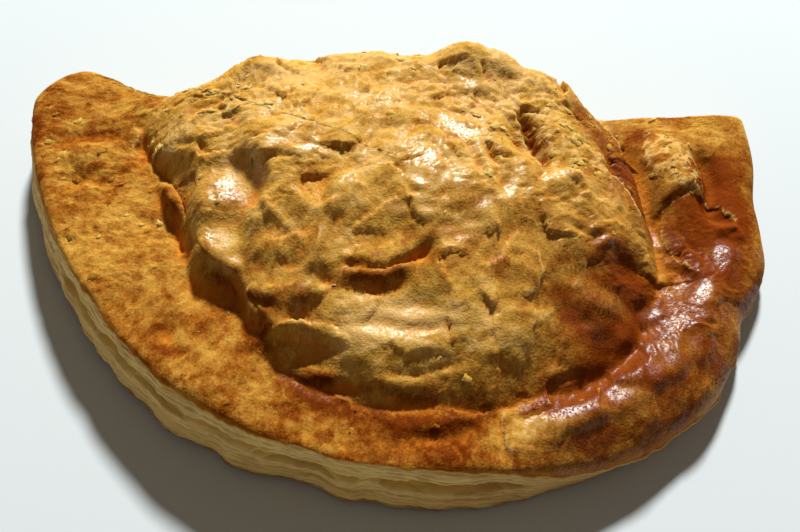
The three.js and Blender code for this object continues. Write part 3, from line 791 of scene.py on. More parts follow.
# %% Torn edges
EAR_SHEET = [
    (69, 16.5), (64.5, 14), (61.5, 11.5), (60, 8), (60, 3), (61.5, 0), (64, -3.5), (66.5, -7),
]
FILLING_SLIT = [(-32.5, -17), (-29, -19), (-26, -21)]
TEARS = [
    # path with the higher sheet on its left (right, where the height is below zero),
    # height of the step, overhang, taper
    ([(-13, -14), (-10, -14.2), (-5.5, -14.5), (-2, -13.5), (2, -11), (6, -8.5)], 0.3, 0.3, 0.45),
    (LEFT_EDGE, 0.35, 0.3, 0.3),
    ([(12.5, -11), (12.5, -17), (15, -20.5), (17, -22.5), (16.5, -27), (17.5, -30.5)], 0.6, 0.35, 0.2),
    ([(17, -30.5), (19, -31.8), (22, -31.8), (23, -30)], 0.4, 0.3, 0.25),
    ([(23, -30.5), (24, -27.5), (25, -23.5), (25.5, -19.5)], 0.7, 0.35, 0.2),
    ([(22.5, -20.5), (25.5, -18), (27, -15.5), (27, -12.5), (26.5, -9)], 1.1, 0.5, 0.2),
    ([(17.5, -8), (17, -12.5), (17.5, -16.5), (16.5, -20)], 0.4, 0.2, 0.3),
    ([(22.5, 27), (24.5, 24.5), (26, 21.5), (26.5, 18), (28, 13.5), (29, 7.5)], -1.6, 0.9, 0.15),
    ([(28, 4.5), (31, 8.5), (34.5, 9.5), (38, 9), (39.5, 7.5)], -1.2, 0.6, 0.2),
    ([(45, 16), (48, 12.5), (51, 9.5), (52, 5), (51.5, 1)], -1.1, 0.6, 0.2),
    ([(45.5, 34), (50, 33), (52.5, 29.5), (52, 25), (50, 20)], -1.0, 0.6, 0.2),
    (EAR_SHEET, 0.55, 0.4, 0.15),
    ([(67.5, 16), (71, 17), (75.5, 16), (78.5, 11.5), (79.5, 8)], 0.8, 0.5, 0.2),
    ([(62, 36), (60, 30), (60, 24), (61.5, 18)], 0.7, 0.5, 0.25),
    ([(18.5, -38.5), (18, -42), (18, -46), (19.5, -50)], 0.8, 0.3, 0.2),
    ([(-65.5, 37.5), (-62.5, 32.5), (-64, 27.5), (-59.5, 24)], -0.6, 0.4, 0.3),
    ([(-14.5, 18), (-14, 13.5), (-11.5, 9.5), (-7, 7)], 0.4, 0.3, 0.3),
    ([(-5, 21.5), (-3.5, 19), (-1, 19), (1, 21.5), (-0.5, 24), (-3, 23.5)], 0.35, 0.2, 0.2),
    ([(12, 24.5), (16.5, 23), (19.5, 20), (22, 19)], 0.6, 0.4, 0.25),
    ([(20.5, -10.5), (23, -10.5), (25.5, -9.5)], 0.6, 0.5, 0.35),
    ([(27.5, -12.5), (31.5, -10.5), (35, -11.5), (39, -9.5), (43.5, -7.5)], 0.4, 0.3, 0.3),
    ([(24, -37.5), (28, -38.5), (33.5, -37.5), (39, -34), (43, -29.5)], 0.3, 0.3, 0.25),
    (FILLING_SLIT, 0.5, 0.3, 0.3),
]
EDGE_WIDTH = 0.45


def torn_edges():
    """Height, push in plan and nearness to an edge, for all the torn edges together."""
    ragged_x = X + field(0.9 * bumps(PLAN, 2.6, 31) + 0.45 * bumps(PLAN, 1.0, 32))
    ragged_y = Y + field(0.9 * bumps(PLAN, 2.6, 33) + 0.45 * bumps(PLAN, 1.0, 34))
    lift, push = np.zeros(SHAPE), np.zeros((2, *SHAPE))
    edge = np.zeros(SHAPE)
    for path, height, overhang, taper in TEARS:
        distance, share, side, heading = along_path(path, ragged_x, ragged_y)
        if height < 0:
            side, heading = -side, -heading
        fade = end_fade(share, taper)
        inward = distance * side
        lift += abs(height) * fade * 0.5 * np.tanh(inward / EDGE_WIDTH) * np.exp(-distance / 4)
        top = np.exp(-(((inward - EDGE_WIDTH) / (1.4 * EDGE_WIDTH)) ** 2)) * fade
        push += overhang * top * np.array([heading[1], -heading[0]])
        edge = np.maximum(edge, min(1, abs(height)) * np.exp(-(((inward - 0.2) / 0.4) ** 2)) * fade)
    return lift, push, edge


tear_lift, tear_push, tear_edge = torn_edges()
print("torn edges:", len(TEARS))

# %% [markdown]
# ## Small marks and glints
#
# Cracks and blisters are folds and swellings under a millimetre high. A last short list
# softens the places where large steps meet: real dough sags there rather than stands.
# Glints are small facets turned to where the lamp's light flashes off them towards a
# diner. A shinier material can't make them, since a highlight falls only where the
# surface is turned the right way; so the surface is turned, in real points.

# %% Small cracks and blisters
CRACKS = [
    fold([(-11, -43), (-12.5, -47), (-12, -51)], -0.7, 0.5, 0.2),
    fold([(8, -47), (9.5, -49.5), (9, -52)], -0.8, 0.4, 0.2),
    fold([(-36, 13.5), (-31, 18), (-25, 18)], -0.6, 0.6),
    fold([(-35.5, 11), (-29, 15), (-22, 14.5)], -0.6, 0.6),
    fold([(-34.5, 8.5), (-28, 11), (-22, 10)], -0.5, 0.6),
    fold(
        [(-30.5, 14.5), (-29.5, 10.5), (-28, 6.5), (-30, 2), (-28.5, -1), (-23.5, -6.5), (-18.5, -13.5)],
        0.6, 0.8,
    ),
    fold([(-15, -1.5), (-16.5, -4.5), (-17.5, -7.5), (-18, -10.5), (-18.5, -13.5)], 0.5, 0.9),
    fold([(-22, 9.5), (-22.5, 6), (-20, 1), (-17.5, -1.5), (-14.5, -1.5)], -0.6, 0.8),
    fold([(4, 16.5), (7.5, 9.5), (11.5, 1.5)], -0.7, 0.9),
    fold([(9.5, 19.5), (14, 12), (17, 1.5)], -0.8, 0.9),
    fold([(16, 16), (19, 8), (22, -2.5)], -0.7, 0.8),
    fold([(-3.5, 10), (-0.5, 3), (5, -4)], -0.6, 0.9),
    fold([(32, -2.5), (39, -5), (45, -3)], -0.7, 0.9),
    fold([(43, 28), (46.5, 18.5), (47, 8)], -0.9, 1.0),
    fold([(46, 24.5), (48.5, 15), (49.5, 4)], -0.8, 0.9),
    fold([(39.5, 36.5), (42.5, 23), (43.5, 15)], -0.7, 0.9),
    fold([(-48, 30), (-42, 30), (-38.5, 33)], -0.7, 0.8),
    fold([(-52.5, 22), (-46.5, 19.5), (-41, 14)], -0.8, 0.9),
    fold([(60.5, 3), (64, -1.5), (66, -4)], -0.5, 0.6),
    fold([(62.5, 8), (65.5, 2.5), (69, -3)], -0.5, 0.6),
]
BLISTERS = [
    swelling((-29.5, -19.5), -1.2, 3.2, 0.8, -32),
    swelling((-30, -21.5), 0.6, 3.6, 1, -32),
    swelling((-2, 21.5), 0.5, 3, 2.2, 20),
    swelling((-29, -5), -0.8, 3.5, 3),
    swelling((-23, -13.5), -0.9, 2.6, 3),
    swelling((-18, 5), -1.0, 4.2, 4.6),
    swelling((-38, 1.5), 1.0, 5, 6, 20),
    swelling((-25, 15), 0.9, 6, 3.4, 25),
    swelling((35.5, 7.5), 0.8, 4.4, 2.8),
    swelling((67.5, 30.5), 0.9, 3, 2.4),
    swelling((-74, 24.5), 0.6, 5, 3.4),
    swelling((-50, 34), 0.7, 5, 3),
    swelling((-10, -2), 0.9, 5, 3.5, 40),
    swelling((42, -19), 0.7, 3, 2.2),
    swelling((55.5, -16.5), 0.7, 3.4, 2.6, 60),
    swelling((49, -31), 0.8, 3, 2.2, 45),
    swelling((36, -40), 0.5, 6, 2, 15),
]

# %% Softened places
SOFTENED = [
    # the crevice's ends, lip and foot, the terrace's foot, the left pocket's shelf
    fold([(-20, -15.5), (-17, -17), (-13, -18.5)], -1.3, 1.6, 0.35),
    fold([(4, -11.5), (9, -8.5), (14, -5)], -1.3, 1.6, 0.35),
    fold([(-15, -15), (-10, -16), (-5, -16.3), (-1, -15), (3, -12.5)], 2.3, 1.7, 0.3),
    fold([(-14, -19), (-9, -19.6), (-4, -19.4), (1, -17)], -0.8, 1.8, 0.3),
    swelling((-20, -31), -2.4, 6, 2.4, -12),
    fold([(-51.5, 8), (-49.5, 3.5), (-48, -0.5), (-46.8, -4.5)], -4.2, 1.5, 0.3),
    # beside the left facet, the bulge's front, the torn hollow, below the bulge
    swelling((-31.5, 10), 2.2, 2.8, 4),
    swelling((0, -30.5), 1.2, 12, 3),
    fold([(27, 27), (28, 22), (29, 16), (31, 10)], -2.2, 1.7, 0.25),
    fold([(-10, -36), (-5.5, -36), (2, -36), (8.5, -34), (16, -32.5)], 1.0, 1.7, 0.2),
]
small = total([*CRACKS, *BLISTERS, *SOFTENED])
print("small marks from", small.min().round(2), "to", small.max().round(2), "mm")

# %% Glints
FLATTENED = 0.75  # share of the way to the glint's plane
GLINTS = [
    # middle, half-sizes, turn, and the slopes along x and y that face halfway to the lamp
    ((-36.5, 6.5), 6.5, 7.5, 0, -0.1, -0.06),
    ((-38, -6), 5.5, 7.5, -10, -0.13, -0.09),
    ((5, 10), 2.2, 3, -35, -0.01, -0.03),
    ((9, 4), 3.2, 2.2, -35, 0.01, -0.05),
    ((2.5, 3.5), 2.6, 1.4, -30, -0.02, -0.05),
    ((12.5, 18), 2.6, 2.6, -40, 0.02, -0.02),
    ((9, 21), 3, 2, 20, 0.00, -0.01),
    ((15, -2), 1.6, 3.4, -30, 0.03, -0.07),
    ((21, 3), 1.4, 3.6, -25, 0.06, -0.06),
    ((12.5, -6), 2.6, 1.6, 10, 0.02, -0.08),
    ((7.5, -7), 2.4, 1.2, 20, 0.00, -0.08),
    ((3.5, -3.5), 2.2, 1.5, 0, -0.01, -0.07),
    ((-2, -3), 2, 1.4, 0, -0.04, -0.07),
    ((-27, 14.5), 5, 2.6, 10, -0.1, -0.03),
    ((-20, 12.5), 2.4, 1.4, 20, -0.12, -0.03),
    ((-17, -8), 0.9, 4.5, -12, -0.10, -0.08),
    ((-20.5, -19), 2, 3.5, -25, -0.11, -0.12),
    ((-35, -10), 2.2, 2, 0, -0.17, -0.11),
    ((-49, 29), 2.2, 3, 0, -0.22, -0.02),
    ((35, -14.5), 1.6, 1.4, 0, 0.11, -0.13),
    ((37, -23), 2.2, 1.4, -30, 0.12, -0.16),
    ((52.5, -16), 3.6, 2.4, 20, 0.16, -0.16),
    ((61.5, -24), 3.4, 4.4, -20, 0.20, -0.19),
    ((54, -29), 4.4, 3, 35, 0.17, -0.19),
    ((32, -33.5), 3, 1.2, 20, 0.10, -0.19),
    ((46, 5.5), 1.8, 1.8, 0, 0.14, -0.08),
    ((41, -5.5), 2.6, 1.2, 20, 0.13, -0.10),
    ((58.5, 6), 1, 3, 10, 0.17, -0.11),
    ((33, 8.5), 4.5, 1.6, 0, 0.10, -0.06),
    ((33, -40.5), 7, 2.6, 20, 0.10, -0.21),
    ((43, -36.5), 4.2, 2.6, 30, 0.13, -0.20),
    ((50, -31.5), 3, 2.4, 40, 0.16, -0.20),
    ((66, -10), 2.4, 4, -20, 0.20, -0.15),
    ((64, -17), 2.4, 1.4, 0, 0.20, -0.17),
    ((66.5, 27), 1.6, 4, 0, 0.19, -0.07),
    ((73.5, 0), 2.8, 4, -10, 0.22, -0.14),
    ((78, 6), 2, 1.2, 0, 0.23, -0.13),
    ((2, -24), 7, 2.2, 0, -0.02, -0.13),
    ((-7, -27), 5, 2, 0, -0.05, -0.14),
    ((-6, 25.5), 4, 2.2, 20, -0.06, -0.00),
    ((-30, 25), 5, 3, 20, -0.15, -0.01),
    ((-12, 28), 5, 2.4, 0, -0.08, 0.00),
    ((16, 32), 4, 2.2, 0, 0.03, 0.00),
    ((-58, 5), 3, 2, 0, -0.25, -0.09),
]

# %% [markdown]
# ## The crust's surface
#
# Form, fine relief, torn edges and small marks are added and rounded down to the rim. A
# Displace modifier or a displacement in the material could do the same, but the points
# are moved here, so the mesh that leaves Blender has the shape that was rendered. The
# hollows, which later get a painted amber glow for the light that bounces into them, and
# the ridges are found by comparing the surface with a blurred copy of itself.

# %% Put the surface together
ROOM_ABOVE = 1.5  # mm that the relief may stand over the solid


def blurred(values, passes):
    """Averages each grid point with its neighbours, over and over."""
    for _ in range(passes):
        padded = np.pad(values, 1, mode="edge")
        sides = padded[:-2, 1:-1] + padded[2:, 1:-1] + padded[1:-1, :-2] + padded[1:-1, 2:]
        values = (sides + 4 * values) / 8
    return values


def hollowness(passes, depth):
    """1 in a hollow of this depth, -1 on a ridge: more passes find wider ones."""
    return np.clip((blurred(Z, passes) - Z) / depth, -1, 1)


near_rim = smooth((1 - SHARE) * RADIUS / 3)
top = form + (relief + tear_lift + small) * near_rim
for at, across, along, turn, fall_x, fall_y in GLINTS:
    level = top.ravel()[np.argmin(np.hypot(X - at[0], Y - at[1]))]
    top = facet(at, level, across, along, turn, fall_x, fall_y, FLATTENED)(X, Y, top)
Z = rounded_down(top, SHARE, ANGLE, RADIUS)
Z = np.minimum(Z, HIGH.z * 1000 + ROOM_ABOVE)
wide_hollow = hollowness(60, 1.6)
narrow_hollow = hollowness(6, 0.25)
CRUST_X = X + tear_push[0] * near_rim
CRUST_Y = Y + tear_push[1] * near_rim
print("crust height", round(float(Z.max()), 2), "mm")


# %% Mesh helpers
def make_mesh(name, points, faces):
    """A mesh object from plan millimetres and lists of corners."""
    mesh = bpy.data.meshes.new(name)
    x, y, z = points.T
    mesh.vertices.add(len(points))
    mesh.vertices.foreach_set("co", np.column_stack(to_frame(x, y, z)).astype(np.float32).ravel())
    corners = np.concatenate([face.ravel() for face in faces])
    sizes = np.concatenate([np.full(len(face), face.shape[1]) for face in faces])
    mesh.loops.add(len(corners))
    mesh.loops.foreach_set("vertex_index", corners.astype(np.int32))
    mesh.polygons.add(len(sizes))
    mesh.polygons.foreach_set("loop_start", (np.cumsum(sizes) - sizes).astype(np.int32))
    mesh.update(calc_edges=True)
    mesh.validate()
    mesh.polygons.foreach_set("use_smooth", np.ones(len(sizes), bool))
    piece = bpy.data.objects.new(name, mesh)
    bpy.context.scene.collection.objects.link(piece)
    triangles = int((sizes - 2).sum())
    print(name, "has", triangles, "triangles")
    return piece


def paint(piece, **layers):
    """Stores one number for each point of a mesh, which its material can read by name."""
    for name, values in layers.items():
        layer = piece.data.attributes.new(name, "FLOAT", "POINT")
        layer.data.foreach_set("value", np.asarray(values, np.float32).ravel())


def quads(upper, lower):
    """Faces between two closed rows of points, the lower or inner one second."""
    return np.column_stack([upper, lower, np.roll(lower, -1), np.roll(upper, -1)])


# %% The crust as a closed sheet
rows, columns = SHAPE
index = np.arange(rows * columns).reshape(SHAPE)
rim_index = np.concatenate([
    index[0, HALF_COLUMNS:-1], index[:-1, -1], index[-1, :0:-1], index[:0:-1, 0], index[0, :HALF_COLUMNS],
])
rim_cos, rim_sin = np.cos(np.radians(RIM_ANGLE)), np.sin(np.radians(RIM_ANGLE))
RIM_ARC = np.column_stack([RIM_RADIUS * rim_cos, RIM_RADIUS * rim_sin, np.zeros(ROUND)])


def rim_row(out, z):
    """A closed row of points round the rim, moved out from it, at a height."""
    distance = RIM_RADIUS + out
    return np.column_stack([
        MIDDLE[0] + distance * rim_cos, MIDDLE[1] + distance * rim_sin, z + np.zeros(ROUND),
    ])


# The sheet's thickness at the rim: out and down, then back in under itself.
EDGE_PROFILE = [(0.25, -0.25), (0.3, -0.7), (-0.1, -1.1), (-1.2, -1.3), (-7, -1.5)]
UNDERSIDE_DROP = 1.5


def crust_piece():
    points = [np.column_stack([CRUST_X.ravel(), CRUST_Y.ravel(), Z.ravel()])]
    faces = [np.column_stack([
        index[:-1, :-1].ravel(), index[:-1, 1:].ravel(), index[1:, 1:].ravel(), index[1:, :-1].ravel(),
    ])]
    edge = EDGE_HEIGHT(RIM_ANGLE)
    ragged = 0.35 * bumps(RIM_ARC, 2.5, 41) + 0.2 * bumps(RIM_ARC, 1, 42)
    last = rim_index
    count = rows * columns
    for out, down in EDGE_PROFILE:
        drop = down * np.minimum(1, edge / 8)
        points.append(rim_row(out + ragged * (out > -1), edge + drop))
        row = count + np.arange(ROUND)
        faces.append(quads(last, row))
        last, count = row, count + ROUND
    points.append(np.array([[*MIDDLE, float(edge.min()) - UNDERSIDE_DROP]]))
    faces.append(np.column_stack([last, np.full(ROUND, count), np.roll(last, -1)]))
    return make_mesh("crust", np.concatenate(points), faces)


crust = crust_piece()

# %% [markdown]
# ## The baked layers of the side
#
# Round the front and left the pastry has opened like the pages of a book. Dozens of loose
# leaves could be modelled one by one, but they'd cut through each other, so one surface
# stands for them: at each angle and height it lies further out or in. Long hollows between
# the main layers are placed one by one; the thin leaves are a wavy saw-tooth that shifts
# and fades along the rim, so that no leaf runs all the way round.

# %% The side wall
WALL_ROWS = 72
HOLLOWS = [
    # from and to, in degrees of the rim, height as a share from the top, half-height, depth
    (168, 186, 0.42, 0.09, 1.2),
    (186, 203, 0.46, 0.16, 2.6),
    (202, 214, 0.42, 0.15, 2.4),
    (211, 228, 0.38, 0.13, 2.2),
    (226, 245, 0.36, 0.09, 1.5),
    (240, 262, 0.42, 0.12, 2.0),
    (262, 292, 0.4, 0.14, 2.6),
    (176, 196, 0.75, 0.06, 0.9),
    (205, 232, 0.7, 0.05, 0.9),
    (240, 266, 0.74, 0.06, 1.0),
    (270, 290, 0.72, 0.05, 0.8),
]


def wall_fields():
    down = np.linspace(0, 1, WALL_ROWS)[:, None] + np.zeros((1, ROUND))
    angle = RIM_ANGLE[None, :] + 0 * down
    opening = WALL_OPENING(angle)
    edge, lift = EDGE_HEIGHT(angle) - 0.7, WALL_LIFT(angle)
    z = edge + (lift - edge) * down
    at = np.stack([RIM_ARC[:, 0] + 0 * down, RIM_ARC[:, 1] + 0 * down, z], axis=-1).reshape(-1, 3)
    slow = at * (0.25, 0.25, 1.0)
    wave = bumps(slow, 2.6, 51).reshape(z.shape)
    leaves = (edge - z) / 1.35 + 0.55 * wave + 0.3 * bumps(at * (0.6, 0.6, 0), 5, 52).reshape(z.shape)
    tooth = np.abs(2 * (leaves - np.floor(leaves)) - 1)
    strength = 0.5 + 0.5 * bumps(slow, 3.2, 53).reshape(z.shape)
    out = 0.55 * opening * strength * (1 - tooth**3 * 1.6)
    hollow = np.zeros(z.shape)
    for first, last, middle, half, depth in HOLLOWS:
        along = (angle - first) / (last - first)
        lens = np.sqrt(np.clip(4 * along * (1 - along), 0, 1))
        centre = middle + 0.03 * bumps(RIM_ARC, 9, 54)[None, :]
        height = np.clip(1 - ((down - centre) / (half * np.maximum(lens, 0.05))) ** 2, 0, 1)
        inside = (along > 0) & (along < 1)
        hollow = np.maximum(hollow, depth * np.sqrt(height) * lens * inside)
    out -= hollow
    out += 0.22 * bumps(at * (1, 1, 2), 1.6, 55).reshape(z.shape) * (0.3 + opening)
    out += 0.1 * bumps(at * (1, 1, 3), 0.8, 56).reshape(z.shape)
    out += 0.9 * opening * bumps(at * (1, 1, 0.4), 7, 57).reshape(z.shape)
    out += WALL_LEAN(angle) * down
    tuck = smooth(np.minimum(down / 0.03, 1))
    out = out * (0.3 + 0.7 * tuck) - 0.5 * (1 - tuck)
    return out, z, down, opening, hollow, tooth


def layers_piece():
    out, z, down, opening, hollow, tooth = wall_fields()
    points = [rim_row(-8, z[0] - 1.6), rim_row(-1.5, z[0] - 0.5)]
    points += [rim_row(out[row], z[row]) for row in range(WALL_ROWS)]
    foot = RIM_RADIUS + WALL_LEAN(RIM_ANGLE)
    points.append(rim_row(foot * 0.97 - RIM_RADIUS, WALL_LIFT(RIM_ANGLE) * 0.7))
    points.append(rim_row(foot * 0.93 - RIM_RADIUS, WALL_LIFT(RIM_ANGLE) * 0.33))
    points.append(rim_row(foot * 0.84 - RIM_RADIUS, 0))
    count = len(points)
    rings = [np.arange(ROUND) + k * ROUND for k in range(count)]
    faces = [quads(upper, lower) for upper, lower in zip(rings, rings[1:])]
    top, bottom = count * ROUND, count * ROUND + 1
    points.append(np.array([[*MIDDLE, 8.0], [*MIDDLE, 0.0]]))
    faces.append(np.column_stack([np.full(ROUND, top), rings[0], np.roll(rings[0], -1)]))
    faces.append(np.column_stack([rings[-1], np.full(ROUND, bottom), np.roll(rings[-1], -1)]))
    piece = make_mesh("layers", np.concatenate(points), faces)

    def over_mesh(values, above, below):
        ends = [np.full(2 * ROUND, above), values.ravel(), np.full(3 * ROUND, below), [above, below]]
        return np.concatenate(ends)

    paint(
        piece,
        hollow=over_mesh(hollow / 2.6, 0, 0),
        leaf=over_mesh(tooth, 0, 0),
        opening=over_mesh(opening, 0, 0),
        under=over_mesh(smooth((down - 0.9) / 0.1), 0, 1),
    )
    return piece


layers = layers_piece()

# %% [markdown]
# ## Shader maths as Python
#
# A material is a small program of nodes. Wiring dozens of Math nodes by hand hides what
# they work out, so one class wraps a socket and lets Python's own operators add the
# nodes: 1 - gloss reads as what it is. Its node method adds any other kind of node.


# %% A wire in a material
class Wire:
    """A socket of a material. Sums and products of wires add Math nodes to it."""

    def __init__(self, tree, socket=None):
        self.tree = tree
        self.socket = socket

    def node(self, kind, settings=None, inputs=None, output=0):
        """Adds a node: its settings first, then the values or wires of its sockets."""
        made = self.tree.nodes.new(kind)
        settings = dict(settings or {})
        for place, (position, colour) in enumerate(settings.pop("stops", [])):
            stops = made.color_ramp.elements
            stop = stops[place] if place < 2 else stops.new(position)
            stop.position, stop.color = position, (*colour, 1)
        for name, value in settings.items():
            setattr(made, name, value)
        for name, value in (inputs or {}).items():
            if isinstance(value, Wire):
                self.tree.links.new(value.socket, made.inputs[name])
            else:
                made.inputs[name].default_value = value
        return Wire(self.tree, made.outputs[output])

    def math(self, operation, *values):
        return self.node("ShaderNodeMath", {"operation": operation}, dict(enumerate(values)))

    def __add__(self, other):
        return self.math("ADD", self, other)

    def __radd__(self, other):
        return self.math("ADD", other, self)

    def __sub__(self, other):
        return self.math("SUBTRACT", self, other)

    def __rsub__(self, other):
        return self.math("SUBTRACT", other, self)

    def __mul__(self, other):
        return self.math("MULTIPLY", self, other)

    def __rmul__(self, other):
        return self.math("MULTIPLY", other, self)

    def __pow__(self, power):
        return self.math("POWER", self, power)

    def __abs__(self):
        return self.math("ABSOLUTE", self)

    def clamped(self):
        return self.math("MINIMUM", self.math("MAXIMUM", self, 0.0), 1.0)

    def between(self, low, high):
        """0 below low, 1 above high and smooth between them."""
        settings = {"interpolation_type": "SMOOTHSTEP"}
        inputs = {"Value": self, "From Min": low, "From Max": high}
        return self.node("ShaderNodeMapRange", settings, inputs)

    def mixed(self, first, second):
        """Colours: the first where this wire is 0, the second where it is 1."""
        colours = [c if isinstance(c, Wire) else (*c, 1) for c in (first, second)]
        settings = {"data_type": "RGBA"}
        inputs = {0: self, 6: colours[0], 7: colours[1]}
        return self.node("ShaderNodeMix", settings, inputs, output=2)


def layer(start, name):
    """A number that was painted on the mesh."""
    return start.node("ShaderNodeAttribute", {"attribute_name": name}, output="Fac")


def speckle(start, size, detail=2.0, stretch=None, distortion=0.0):
    """Noise from 0 to 1 with bumps of about size millimetres, drawn out if asked."""
    place = start.node("ShaderNodeTexCoord", output="Object")
    if stretch is not None:
        inputs = {"Vector": place, "Rotation": stretch[0], "Scale": stretch[1]}
        place = start.node("ShaderNodeMapping", {}, inputs)
    inputs = {"Vector": place, "Scale": 1000 / size, "Detail": detail, "Distortion": distortion}
    return start.node("ShaderNodeTexNoise", {}, inputs)


def new_material(name):
    """An empty material and the wire to start its nodes from."""
    material = bpy.data.materials.new(name)
    material.use_nodes = True
    material.node_tree.nodes.clear()
    return material, Wire(material.node_tree)


def finish_material(start, constants, varying, height=None):
    """The surface: plain values, painted ones, and a height in millimetres as bump."""
    inputs = {**constants, **varying}
    if height is not None:
        bump_inputs = {"Height": height, "Distance": 0.001, "Strength": 1.0}
        inputs["Normal"] = start.node("ShaderNodeBump", {}, bump_inputs)
    shader = start.node("ShaderNodeBsdfPrincipled", {}, inputs)
    end = start.tree.nodes.new("ShaderNodeOutputMaterial")
    start.tree.links.new(shader.socket, end.inputs["Surface"])


# %% [markdown]
# ## What the oven did, and painted light
#
# Colour on a crust is heat and egg: thin raised places brown first, glaze burns to dark
# toffee at the right, and where a flake has broken off the dough below is still cream. Some
# colour stands for light instead: a lighter amber painted into the hollows for the light
# that bounces into them, painted shade in the pocket under the bulge and in the right ear's
# hole, and a painted highlight on the ring's front. Noise in the material alone wouldn't
# know where the folds are, so five numbers are worked out from the shape and painted on
# the mesh: browning with painted light, toffee with painted shade, pale, gloss and painted
# bounce.

# %% Paint the crust
PALE_PATCHES = [
    swelling((-74, 25.5), 0.5, 5, 3.5),
    swelling((-46, -24), 0.9, 2.2, 1.6),
    swelling((-1.5, -25), 1.3, 15, 6),
    swelling((-4, -32), 0.5, 13, 4),
    swelling((-47, 22), 0.5, 7, 5),
    swelling((15.5, -20.5), 0.5, 4, 5),
    swelling((21, -27.5), 0.45, 4, 5),
    fold([(-2.5, 17), (-8, 8), (-12, -2), (-15, -11)], 0.45, 3),
    # painted highlight: the front of the ring made lighter
    swelling((29, -42.5), 0.8, 12, 3.2, 15),
    swelling((-21, 39.5), 0.35, 16, 8),
    swelling((30, 37.5), 0.3, 12, 7),
    swelling((-62, 6), 0.3, 10, 14),
    swelling((-58, -8), 0.3, 9, 9),
    swelling((-38, -33), 0.3, 8, 5, -35),
]
BROWN_PATCHES = [
    fold(EAR_CREASE, 0.5, 2.2),
    fold(EAR_FOOT, 0.4, 1.8),
    fold([(-88, 40), (-86, 28), (-81, 14)], 0.35, 3),
    swelling((-72, 45), 0.3, 6, 3),
    fold(EAR_ROOT, 0.4, 2.5),
    # painted shadow in the pocket under the bulge's front edge
    fold([(-20, -36), (-14, -39), (-8, -39.5)], 0.5, 3.5),
    swelling((-48, -24), 0.4, 2.5, 3.2, 20),
    swelling((2, -42), 0.5, 16, 4),
    swelling((2, -48), 0.25, 14, 4),
    fold(RING_VALLEY, 0.6, 3.5, 0.1),
    fold([(26.5, -16), (30.5, -17.5), (34, -22), (39.5, -26), (46, -23)], 0.55, 3, 0.2),
    swelling((43.5, -16), 0.4, 8, 8),
    swelling((48.5, -9.5), 0.8, 5, 4),
    fold(RING, 0.3, 9, 0.1),
    swelling((75, 20), 0.9, 6, 13),
    # painted shadow in the hole of the right ear
    swelling((75.5, 11), 1.5, 5.5, 5.5),
    swelling((52, 25), 0.5, 6, 9),
    swelling((44, 33), 0.45, 6, 8),
    swelling((-31, -27), 0.6, 4, 3),
    # painted shadow in the pocket under the bulge's front edge
    fold([(-23, -35), (-19, -36), (-14, -38)], 0.8, 2.6),
    swelling((65, 6.5), 0.5, 6, 8),
    swelling((74.5, -1.5), 0.35, 8, 8),
    fold([(49, 25), (52, 16), (53.5, 6), (55, -2)], 0.35, 3),
    swelling((59, 36), 0.5, 5, 4),
    swelling((29, 20), 0.35, 4, 5),
    swelling((-23, 1), 0.3, 6, 8, 20),
    fold(CREVICE, 0.3, 2.4, 0.15),
    swelling((85, 30), 0.25, 6, 14),
    # painted shadow in the hole of the right ear
    swelling((76, 14), 1.1, 5, 7),
    swelling((70, 15), 0.2, 16, 18),
    swelling((46, 18), 0.3, 9, 11),
    fold([(27, 27), (28, 22), (29.5, 16), (31, 10)], 0.8, 2, 0.2),
    # painted shadow below the bulge's front edge
    swelling((-20, -34), 0.5, 6.5, 3.2, -12),
]
RED_SLIT = [fold(FILLING_SLIT, 1.4, 0.8, 0.15)]


def paint_crust():
    """Browning with painted shade and highlight, dark glaze with painted shade, pale, gloss and
    a painted bounce glow, from 0 to 1, over the top of the crust.
    """
    mottle = field(rough(PLAN, 8, 61, 4))
    fine = field(rough(PLAN, 2.2, 65, 3))
    drawn = field(drawn_out(PLAN, 1.5, 66, DIRECTION, 6))
    even = 0.06 * rightness
    browning = 0.4 + (0.18 - even) * mottle + (0.16 - even) * fine + 0.1 * drawn
    browning += (0.2 + 0.1 * smooth((-Y - 10) / 20)) * dry_band - 0.17 * crown
    browning += 0.08 * rightness * (1 - back) + 0.16 * ring - 0.1 * back
    browning += 0.15 * sheet_tone + 0.14 * flake_tone
    browning += 0.12 * np.clip(-wide_hollow, 0, 1) - 0.1 * crumb
    # the patches include painted shade and a painted highlight, marked in their lists
    browning += 0.7 * total(BROWN_PATCHES) - 0.45 * total(PALE_PATCHES)
    # painted bounce light: a lighter amber painted into the hollows, where light bounces in
    amber = np.clip(1.3 * (wide_hollow - 0.12), 0, 1) + 0.4 * np.clip(narrow_hollow, 0, 1)
    amber = np.clip(amber, 0, 1)
    # dark glaze at the right, and the painted shadow of the right ear's hole
    burnt_and_shaded = total(BROWN_PATCHES) + 0.17 * smooth((6 - Y) / 12) + 0.2 * mottle
    toffee = np.clip(np.clip(burnt_and_shaded, 0, 1) * rightness + total(RED_SLIT), 0, 1)
    flaked = smooth((field(rough(WARPED, 4, 71, 4)) - 0.3) / 0.3) * (0.2 + 0.5 * back + 0.2 * dry_band)
    pale = 0.8 * tear_edge + 0.75 * crumb * smooth(0.5 + fine) + 0.4 * flaked
    pale = np.clip(pale + 0.3 * np.clip(-narrow_hollow, 0, 1), 0, 1)
    lustre = np.zeros(SHAPE)
    for at, across, along, turn, _, _ in GLINTS:
        lustre = np.maximum(lustre, swelling(at, 1, 1.5 * across, 1.5 * along, turn)(X, Y))
    gloss = 0.17 + 0.16 * rightness + 0.28 * sheet_shine + 0.14 * flake_shine
    gloss += lustre * (0.8 + 0.3 * flake_shine)
    gloss = np.clip(gloss, 0, 1) * glazed * (1 - 0.6 * back)
    gloss = np.clip(gloss * (1 - 0.7 * pale), 0, 1)
    return browning, toffee, pale, gloss, amber


